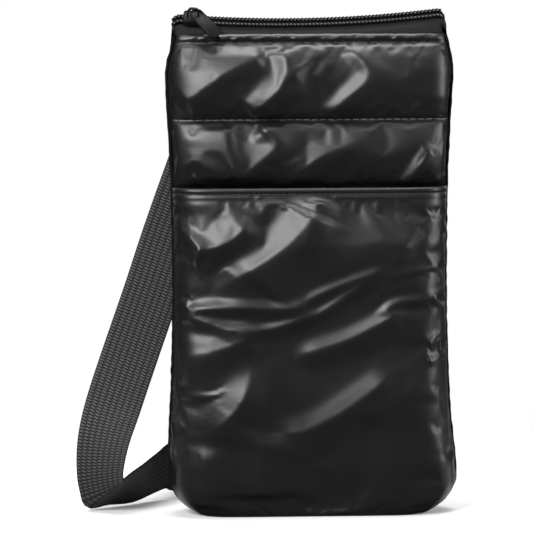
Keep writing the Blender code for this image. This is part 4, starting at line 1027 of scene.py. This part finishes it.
# %% Teeth
def wire_along(name, line, radius, sides):
    """A round wire along a row of points, carried without twisting from one point to the next."""
    ahead = unit(np.gradient(line, axis=0))
    normal = np.cross(ahead[0], [0.31, 0.87, 0.38])
    frames = []
    for direction in ahead:
        normal = normal - (normal @ direction) * direction
        normal = normal / np.linalg.norm(normal)
        frames.append(normal)
    first = np.array(frames)
    second = np.cross(ahead, first)
    turn = full_turn(sides)
    rings = line[:, None] + radius * (np.cos(turn)[None, :, None] * first[:, None]
                                      + np.sin(turn)[None, :, None] * second[:, None])
    return closed_tube(name, rings)


COIL_PARTS = 14               # parts of a turn
COIL_OUT, COIL_HALF, COIL_RISE, COIL_LIFT = 1.45 * MM, 0.66 * MM, 0.62 * MM, 0.05 * MM
COIL_LEAN = 0.35              # how far a turn leans along the chain, as a share of the pitch
CORD_OUT = 1.4 * MM


def make_coil(name, hand):
    """One row of teeth: per turn the wire goes once round a flattened loop and moves on by one pitch."""
    turns = int((CHAIN_STOP - CHAIN_START) * ZIP_RADIUS / TOOTH_PITCH)
    phase = np.linspace(0, 2 * np.pi * turns, turns * COIL_PARTS + 1)
    across = COIL_OUT - COIL_HALF * squared(np.cos(phase), 0.7)
    out = COIL_LIFT + COIL_RISE * squared(np.sin(phase), 0.8)
    angle = CHAIN_START + phase / (2 * np.pi) * TOOTH_PITCH / ZIP_RADIUS
    lean = COIL_LEAN * TOOTH_PITCH / ZIP_RADIUS * np.cos(phase + np.pi / 4)
    wear(wire_along(name + "_wire", on_chain(angle + lean, hand * across, out), TOOTH_WIRE, 7),
         TOOTH_NYLON, "zip_coil", name)
    inside = on_chain(angle[::COIL_PARTS // 2], hand * CORD_OUT, COIL_LIFT)
    wear(wire_along(name + "_cord", inside, CORD_RADIUS, 8), TOOTH_NYLON, "zip_coil")
    sew_coil(name + "_thread", hand, turns)
    return turns


BEAD_PROFILE = [(-1, 0.1), (-0.8, 0.6), (-0.35, 0.95), (0.35, 0.95), (0.8, 0.6), (1, 0.1)]   # along, radius
BEAD_LONG, BEAD_WIDE, BEAD_SLANT = 0.62 * MM, 0.44 * MM, 0.18 * MM
BEAD_ACROSS, BEAD_OUT = 1.95 * MM, 0.75 * MM
BEAD_SIDES = 8


def sew_coil(name, hand, turns):
    """The chain stitch that holds a coil to its tape: a bead of thread over every turn, outside the teeth."""
    turn = full_turn(BEAD_SIDES)
    bead = np.array([np.stack([share + 0 * turn, wide * np.cos(turn), wide * np.sin(turn)], -1)
                     for share, wide in BEAD_PROFILE]).reshape(-1, 3)
    faces = grid_faces(len(BEAD_PROFILE), BEAD_SIDES, wrap=True)
    number = np.arange(turns)
    centre = CHAIN_START + (number + 0.5) * TOOTH_PITCH / ZIP_RADIUS
    angle = centre[:, None] + bead[None, :, 0] * BEAD_LONG / ZIP_RADIUS
    across = hand * (BEAD_ACROSS + BEAD_WIDE * bead[None, :, 1] + BEAD_SLANT * bead[None, :, 0]) + 0 * angle
    out = BEAD_OUT + BEAD_WIDE * bead[None, :, 2] + 0 * angle
    points = on_chain(angle, across, out).reshape(-1, 3)
    faces = (faces[None] + (number * len(bead))[:, None, None]).reshape(-1, 4)
    wear(put_in_scene(name, points, faces), CHAIN_THREAD if hand < 0 else TOOTH_NYLON, "zip_coil")


print("teeth on each side", make_coil("zip_coil_front", -1), make_coil("zip_coil_back", 1))

# %% [markdown]
# The tapes carry the teeth. Each is one cross-section taken along the chain. It hangs down inside the
# bag, and its lower edge is drawn into the side seams at both ends.

# %% Tapes
def chain_place(y, height):
    """A place in the cross-section, from depth and height to across and out of the chain's face."""
    point = np.array([0, y, height])
    return [point @ ACROSS, point @ FACING]


TAPE_STEPS, TAPE_PARTS = 300, 6


def make_tape(name, hand, profile):
    """A knitted tape: a smooth cross-section carried along the chain, with two faces."""
    angle = np.linspace(CHAIN_START, CHAIN_STOP, TAPE_STEPS)[:, None]
    line = smooth_line(profile, TAPE_PARTS)
    side = unit(np.gradient(line, axis=0))[:, ::-1] * [-1, 1]
    reach = half_width(SHELL_TOP) - 1 * MM
    layers = []
    for offset in (-TAPE_THICK / 2, TAPE_THICK / 2):
        spot = line + side * offset
        points = on_chain(angle, spot[None, :, 0], spot[None, :, 1])
        drawn = np.interp(np.arange(len(line)), [TAPE_PARTS, 2 * TAPE_PARTS], [1, 0])
        if hand > 0:
            drawn = drawn[::-1]
        bend = shoulder(np.clip(np.abs(points[..., 0]) / reach, 0, 1))
        target = SEAM_PLANE + hand * TAPE_THICK
        points[..., 1] += drawn * (target - points[..., 1]) * (1 - bend)
        layers.append(points)
    wear(closed_quilt(name + "_knitted", *layers[::hand]), ZIP_CLOTH, "zip_tape", name)


UNDER_COIL = -1.5 * MM
FRONT_TAPE_Y, BACK_TAPE_Y = -3.25 * MM, 4.45 * MM
make_tape("zip_tape_front", -1, [chain_place(FRONT_TAPE_Y, -10 * MM), chain_place(FRONT_TAPE_Y, -5 * MM),
                                 [-3.0 * MM, UNDER_COIL], [-0.75 * MM, UNDER_COIL]])
make_tape("zip_tape_back", 1, [[0.75 * MM, UNDER_COIL], [3.0 * MM, UNDER_COIL],
                               chain_place(BACK_TAPE_Y, -1.7 * MM), chain_place(BACK_TAPE_Y, -10 * MM)])
print("tapes with", TAPE_STEPS, "steps along them")

# %% [markdown]
# The slider is cast metal: a domed plate over the teeth, two lips that fold down round them, a foot
# underneath, a wedge between, and a bridge that the pull tab hooks through. Its soft corners come from
# rounded sections.

# %% Slider
SLIDER_ANGLE = float(zip_angle(-50.8 * MM))
SLIDER_HALF, SLIDER_SIDE = 4.3 * MM, 3.6 * MM
PLATE_LOW, PLATE_TOP = 1.5 * MM, 2.4 * MM
FOOT_SIDE, FOOT_THICK, FOOT_TOP = 1.9 * MM, 0.9 * MM, -2.1 * MM
PLATE_POWER = 3.2             # the higher, the squarer the plate's outline
PLATE_SHARES = (0.8, 0.6, 0.4, 0.2, 0.02)   # rings of the dome, as shares of the outline
LIP_ACROSS, LIP_BULGE, LIP_LIFT, LIP_RISE = 3.62 * MM, 0.34 * MM, 0.85 * MM, 1.50 * MM
BRIDGE_HALF, BRIDGE_RISE, BRIDGE_WIDE, BRIDGE_THICK = 2.35 * MM, 4.4 * MM, 0.75 * MM, 0.42 * MM


def on_slider(points):
    """From the slider's own frame, along, across and out, to the world."""
    points = np.asarray(points)
    return on_chain(SLIDER_ANGLE + points[..., 0] / ZIP_RADIUS, points[..., 1], points[..., 2], sewn=False)


def domed_plate(name, half, side, low, high, dome, waist=0.0):
    """A plate whose outline is |x/a|^p + |y/b|^p = 1, with rounded rims and a domed top."""
    turn = full_turn(64)
    x = half * squared(np.cos(turn), 2 / PLATE_POWER)
    y = side * squared(np.sin(turn), 2 / PLATE_POWER) * (1 - waist * (1 + np.cos(turn)) / 2)
    rim = min(0.3 * MM, (high - low) / 2.5)
    layers = [(0.02, low), (0.93, low), (1.0, low + rim), (1.0, high - rim), (0.93, high)]
    layers += [(share, high + dome * (1 - (share / 0.93) ** 2)) for share in PLATE_SHARES]
    rings = np.array([np.stack([x * share, y * share, height + 0 * x], -1) for share, height in layers])
    return closed_tube(name, on_slider(rings))


def lip(name, hand):
    """A lip of the slider: a rounded bar beside the teeth, bulging outwards in its middle."""
    share = np.linspace(-1, 1, 24)
    turn = full_turn(16)[None, :]
    bulge = np.sqrt(np.clip(1 - np.abs(share) ** 6, 0.02, 1))[:, None]
    x = share[:, None] * SLIDER_HALF * 0.97 + 0 * turn
    y = hand * (LIP_ACROSS + LIP_BULGE * bulge * np.cos(turn))
    z = LIP_LIFT + LIP_RISE * bulge * np.sin(turn)
    rings = np.stack([x, y, z], -1)
    return closed_tube(name, on_slider(rings if hand > 0 else rings[:, ::-1]))


def make_bridge():
    """A flat strap of metal that stands on the plate like a low arch."""
    turn = np.linspace(0, np.pi, 30)
    x = BRIDGE_HALF * squared(np.cos(turn), 0.5)
    z = PLATE_TOP - 0.4 * MM + BRIDGE_RISE * np.sin(turn) ** 0.6
    line = np.stack([x, 0 * x, z], -1)
    ahead = unit(np.gradient(line, axis=0))
    outward = np.cross([0, 1, 0], ahead)
    around = full_turn(16)
    wide = BRIDGE_WIDE * squared(np.cos(around), 0.6)
    thick = BRIDGE_THICK * squared(np.sin(around), 0.8)
    sideways = wide[None, :, None] * np.array([0, 1, 0])
    rings = line[:, None] + sideways + thick[None, :, None] * outward[:, None]
    return closed_tube("slider_bridge", on_slider(rings))


wear(domed_plate("slider_top", SLIDER_HALF, SLIDER_SIDE + 0.25 * MM, PLATE_LOW, PLATE_TOP - 0.25 * MM,
                 0.45 * MM, waist=0.12), PAINTED_METAL, "black_metal", "slider_body", body="slider")
WEDGE = np.array([[[x, y, z] for x, y in ((-3.85, -0.4), (-2.05, -0.15), (-2.05, 0.15), (-3.85, 0.4))]
                  for z in (-2.5, 1.9)]) * MM
for metal in (domed_plate("slider_foot", SLIDER_HALF, FOOT_SIDE, FOOT_TOP - FOOT_THICK, FOOT_TOP, 0.0),
              lip("slider_lip_front", -1), lip("slider_lip_back", 1),
              closed_tube("slider_wedge", on_slider(WEDGE)), make_bridge()):
    wear(metal, PAINTED_METAL, "black_metal", body="slider")

# %% [markdown]
# The pull tab is a flat plate with an eye. Its outline and its eye are two closed curves with equal
# numbers of points, and a section with soft corners runs round between them.

# %% Pull tab
TAB_LENGTH, TAB_HALF, TAB_THICK = 15.8 * MM, 3.3 * MM, 0.9 * MM
TAB_YAW, TAB_DROP = math.radians(42.7), math.radians(17.5)
TAB_PIVOT = 2.7 * MM
EYE_LENGTH, EYE_HALF, EYE_CORNER = 3.4 * MM, 2.35 * MM, 0.9 * MM
TAB_SOFT = 0.16 * MM          # how far the plate's edges are rounded
TAB_POINTS = 96


def rounded_box(low, high, half, corner_low, corner_high, count):
    """A closed curve round a box from x = low to x = high, with a corner radius at each end."""
    corners = [(high - corner_high, half - corner_high, 0, corner_high),
               (low + corner_low, half - corner_low, np.pi / 2, corner_low),
               (low + corner_low, -half + corner_low, np.pi, corner_low),
               (high - corner_high, -half + corner_high, 3 * np.pi / 2, corner_high)]
    points = []
    for x, y, start, radius in corners:
        for angle in start + np.linspace(0, np.pi / 2, 9):
            points.append([x + radius * np.cos(angle), y + radius * np.sin(angle)])
    points = np.array(points + points[:1])
    run = np.concatenate([[0], np.cumsum(np.linalg.norm(np.diff(points, axis=0), axis=1))])
    spots = np.linspace(0, run[-1], count, endpoint=False)
    return np.stack([np.interp(spots, run, points[:, 0]), np.interp(spots, run, points[:, 1])], -1)


def make_pull_tab():
    """The tab's plate: a section with soft corners, carried round between the outline and the eye."""
    bar = TAB_THICK / 2
    outer = rounded_box(-bar, TAB_LENGTH, TAB_HALF, TAB_HALF * 0.8, TAB_HALF * 0.45, TAB_POINTS)
    eye = rounded_box(bar, bar + EYE_LENGTH, EYE_HALF, EYE_CORNER, EYE_CORNER, TAB_POINTS)
    soft = TAB_SOFT
    step = unit(eye - outer)
    rim, hole = outer + step * soft, eye - step * soft
    section = [(outer, -bar + soft), (outer, bar - soft), (rim, bar), (hole, bar),
               (eye, bar - soft), (eye, -bar + soft), (hole, -bar), (rim, -bar)]
    rings = np.stack([np.concatenate([loop, np.full((TAB_POINTS, 1), height)], 1)
                      for loop, height in section], 1)
    wide = np.array([math.sin(TAB_YAW), math.cos(TAB_YAW), 0])
    down = np.array([math.cos(TAB_DROP) * math.cos(TAB_YAW), -math.cos(TAB_DROP) * math.sin(TAB_YAW),
                     -math.sin(TAB_DROP)])
    out = -np.cross(wide, down)
    local = rings[..., :1] * down + rings[..., 1:2] * wide - rings[..., 2:] * out
    world = on_slider(local + [0, 0, PLATE_TOP + TAB_PIVOT])
    return closed_tube("pull_tab_plate", world, ends=False)


pull_tab = wear(make_pull_tab(), PAINTED_METAL, "black_metal", "pull_tab", body="pull_tab")

# %% [markdown]
# The ring, the tab that holds it and the adjuster keep the shapes of their solids. They get their own
# finishes, and the moulded adjuster gets soft edges. The base is made anew as a soft slab.

# %% Kept solids and base
def dress(node, material, soften=0.0):
    """The solid itself with a finish, and edges rounded by a width where it is moulded."""
    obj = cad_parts[node]
    obj.data.materials.clear()
    obj.data.materials.append(material)
    for polygon in obj.data.polygons:
        polygon.material_index = 0
    if soften:
        bevel = obj.modifiers.new("soft_edges", "BEVEL")
        bevel.width = soften
        bevel.segments = 3
        bevel.limit_method = "ANGLE"


BASE_HALF, BASE_DEPTH, BASE_MIDDLE = 48.0 * MM, 12.9 * MM, -2.0 * MM
BASE_LAYERS = [(0.02, 0.0), (0.5, 0.0), (0.96, 0.0), (0.99, 0.15), (1.0, 0.6), (1.0, 1.2), (0.97, 1.5),
               (0.5, 1.5), (0.02, 1.5)]   # share of the outline, and height in mm


def base_rings():
    """A soft bottom: a rounded slab whose rims turn up into the shells."""
    turn = full_turn(120)
    x = BASE_HALF * squared(np.cos(turn), 0.25)
    y = BASE_MIDDLE + BASE_DEPTH * squared(np.sin(turn), 0.5)
    return np.array([np.stack([x * share, y * share, height * MM + 0 * x], -1)
                     for share, height in BASE_LAYERS])


wear(closed_tube("base_bottom", base_rings()), COATED_NYLON, "shell_fabric", "base_panel")
dress("strap_ring", PAINTED_METAL)
dress("strap_adjuster", MOULDED, 0.35 * MM)
dress("anchor_tab", SEAM_TAPE)
print("solids still shown", sorted(n for n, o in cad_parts.items() if not o.hide_render))

# %% [markdown]
# Stitches are short capsules of thread that lie on the cloth along its seams. Each sits where the settled
# cloth is, sunk by a third, and points along the seam.

# %% Stitches
CAPSULE_SIDES = 6
CAPSULE_PROFILE = [(-0.5, 0.05), (-0.46, 0.6), (-0.38, 1.0), (0.38, 1.0), (0.46, 0.6), (0.5, 0.05)]
SEWN_SHARE = 0.985            # a row of stitches stops short of the side seams


def capsule_points(length, radius):
    """One capsule along x as rings: round ends and a straight middle."""
    return np.array([[[x * length, share * radius * np.cos(a), share * radius * np.sin(a)]
                      for a in full_turn(CAPSULE_SIDES)] for x, share in CAPSULE_PROFILE])


def sew(name, skin, height, pitch, length, radius, seed, material):
    """A row of stitches across a panel's settled grid, at a height."""
    row = int(np.argmin(np.abs(skin[:, skin.shape[1] // 2, 2] - height)))
    line = skin[row]
    run = np.concatenate([[0], np.cumsum(np.linalg.norm(np.diff(line, axis=0), axis=1))])
    chance = np.random.default_rng(seed)
    spots = np.arange(run[-1] * (1 - SEWN_SHARE) + pitch, run[-1] * SEWN_SHARE, pitch)
    spots = spots + chance.uniform(-0.06, 0.06, len(spots)) * pitch
    one = capsule_points(length, radius).reshape(-1, 3)
    piece_faces = grid_faces(len(CAPSULE_PROFILE), CAPSULE_SIDES, wrap=True)
    points = []
    for spot in spots:
        place = np.array([np.interp(spot, run, line[:, axis]) for axis in range(3)])
        ahead = unit(np.array([np.interp(spot + 0.3 * MM, run, line[:, axis]) for axis in range(3)]) - place)
        outward = unit(np.cross([0, 0, 1], ahead) * -1)
        up = np.cross(outward, ahead)
        lean = chance.uniform(-0.08, 0.08)
        points.append(place + one[:, :1] * (ahead + lean * up) + one[:, 1:2] * up
                      + (one[:, 2:] + radius * 0.35) * outward)
    faces = (piece_faces[None] + (np.arange(len(points)) * len(one))[:, None, None]).reshape(-1, 4)
    wear(put_in_scene(name, np.concatenate(points), faces), material, "shell_fabric")
    print(name, "stitches", len(spots))


front_skin, pocket_skin = PANEL_SKINS["front_quilt"], PANEL_SKINS["pocket_quilt"]
sew("topstitch", front_skin, TOPSTITCH_Z, 4.2 * MM, 2.6 * MM, 0.20 * MM, 71, CHAIN_THREAD)
sew("quilting_stitch", front_skin, QUILT_SEAM_Z, 3.6 * MM, 2.7 * MM, 0.22 * MM, 72, THREAD)
sew("pocket_hem_stitch", pocket_skin, MOUTH_Z - POCKET_HEM, 2.2 * MM, 1.7 * MM, 0.16 * MM, 73, CHAIN_THREAD)

# %% [markdown]
# The floor is a wide pale sheet. The camera sees it as white, so the picture has the plain ground of a
# product photograph, and the bag's own shadow is what tells that it stands there.

# %% Floor
FLOOR_HALF = 3.0
FLOOR_LIFT = 0.12            # so that the lit floor round the bag is as white as the air behind it
WHITE_FROM = 0.16            # past this reach the floor fades to plain white where the camera sees it
WHITE_PAST = 0.30


def make_floor():
    """A square sheet. What the camera sees of it is lifted to white, and plain white past a reach."""
    corners = [[x * FLOOR_HALF, y * FLOOR_HALF, 0] for x, y in ((-1, -1), (1, -1), (1, 1), (-1, 1))]
    floor = put_in_scene("floor", corners, [[0, 1, 2, 3]], smooth=False)
    material = new_finish("pale_floor", {"Base Color": (0.86, 0.86, 0.86, 1), "Roughness": 0.6})
    tree = material.node_tree
    matt = tree.nodes["Principled BSDF"].outputs["BSDF"]
    seeing = background_rays(tree)
    reach = add_step(tree, "VectorMath", {0: object_place(tree)}, operation="LENGTH").outputs["Value"]
    fade = add_step(tree, "MapRange", {"Value": reach, "From Min": WHITE_FROM, "From Max": WHITE_PAST},
                    interpolation_type="SMOOTHSTEP").outputs["Result"]
    lift = add_step(tree, "Emission", {"Strength": FLOOR_LIFT}).outputs["Emission"]
    lit = add_step(tree, "AddShader", {0: matt, 1: lift}).outputs["Shader"]
    near = add_step(tree, "MixShader", {"Fac": seeing, 1: matt, 2: lit}).outputs["Shader"]
    white = add_step(tree, "Emission", {}).outputs["Emission"]
    far = add_step(tree, "MixShader", {"Fac": maths(tree, "MULTIPLY", fade, seeing), 1: near, 2: white})
    fill_inputs(tree, tree.nodes["Material Output"], {"Surface": far.outputs["Shader"]})
    floor.data.materials.append(material)


make_floor()
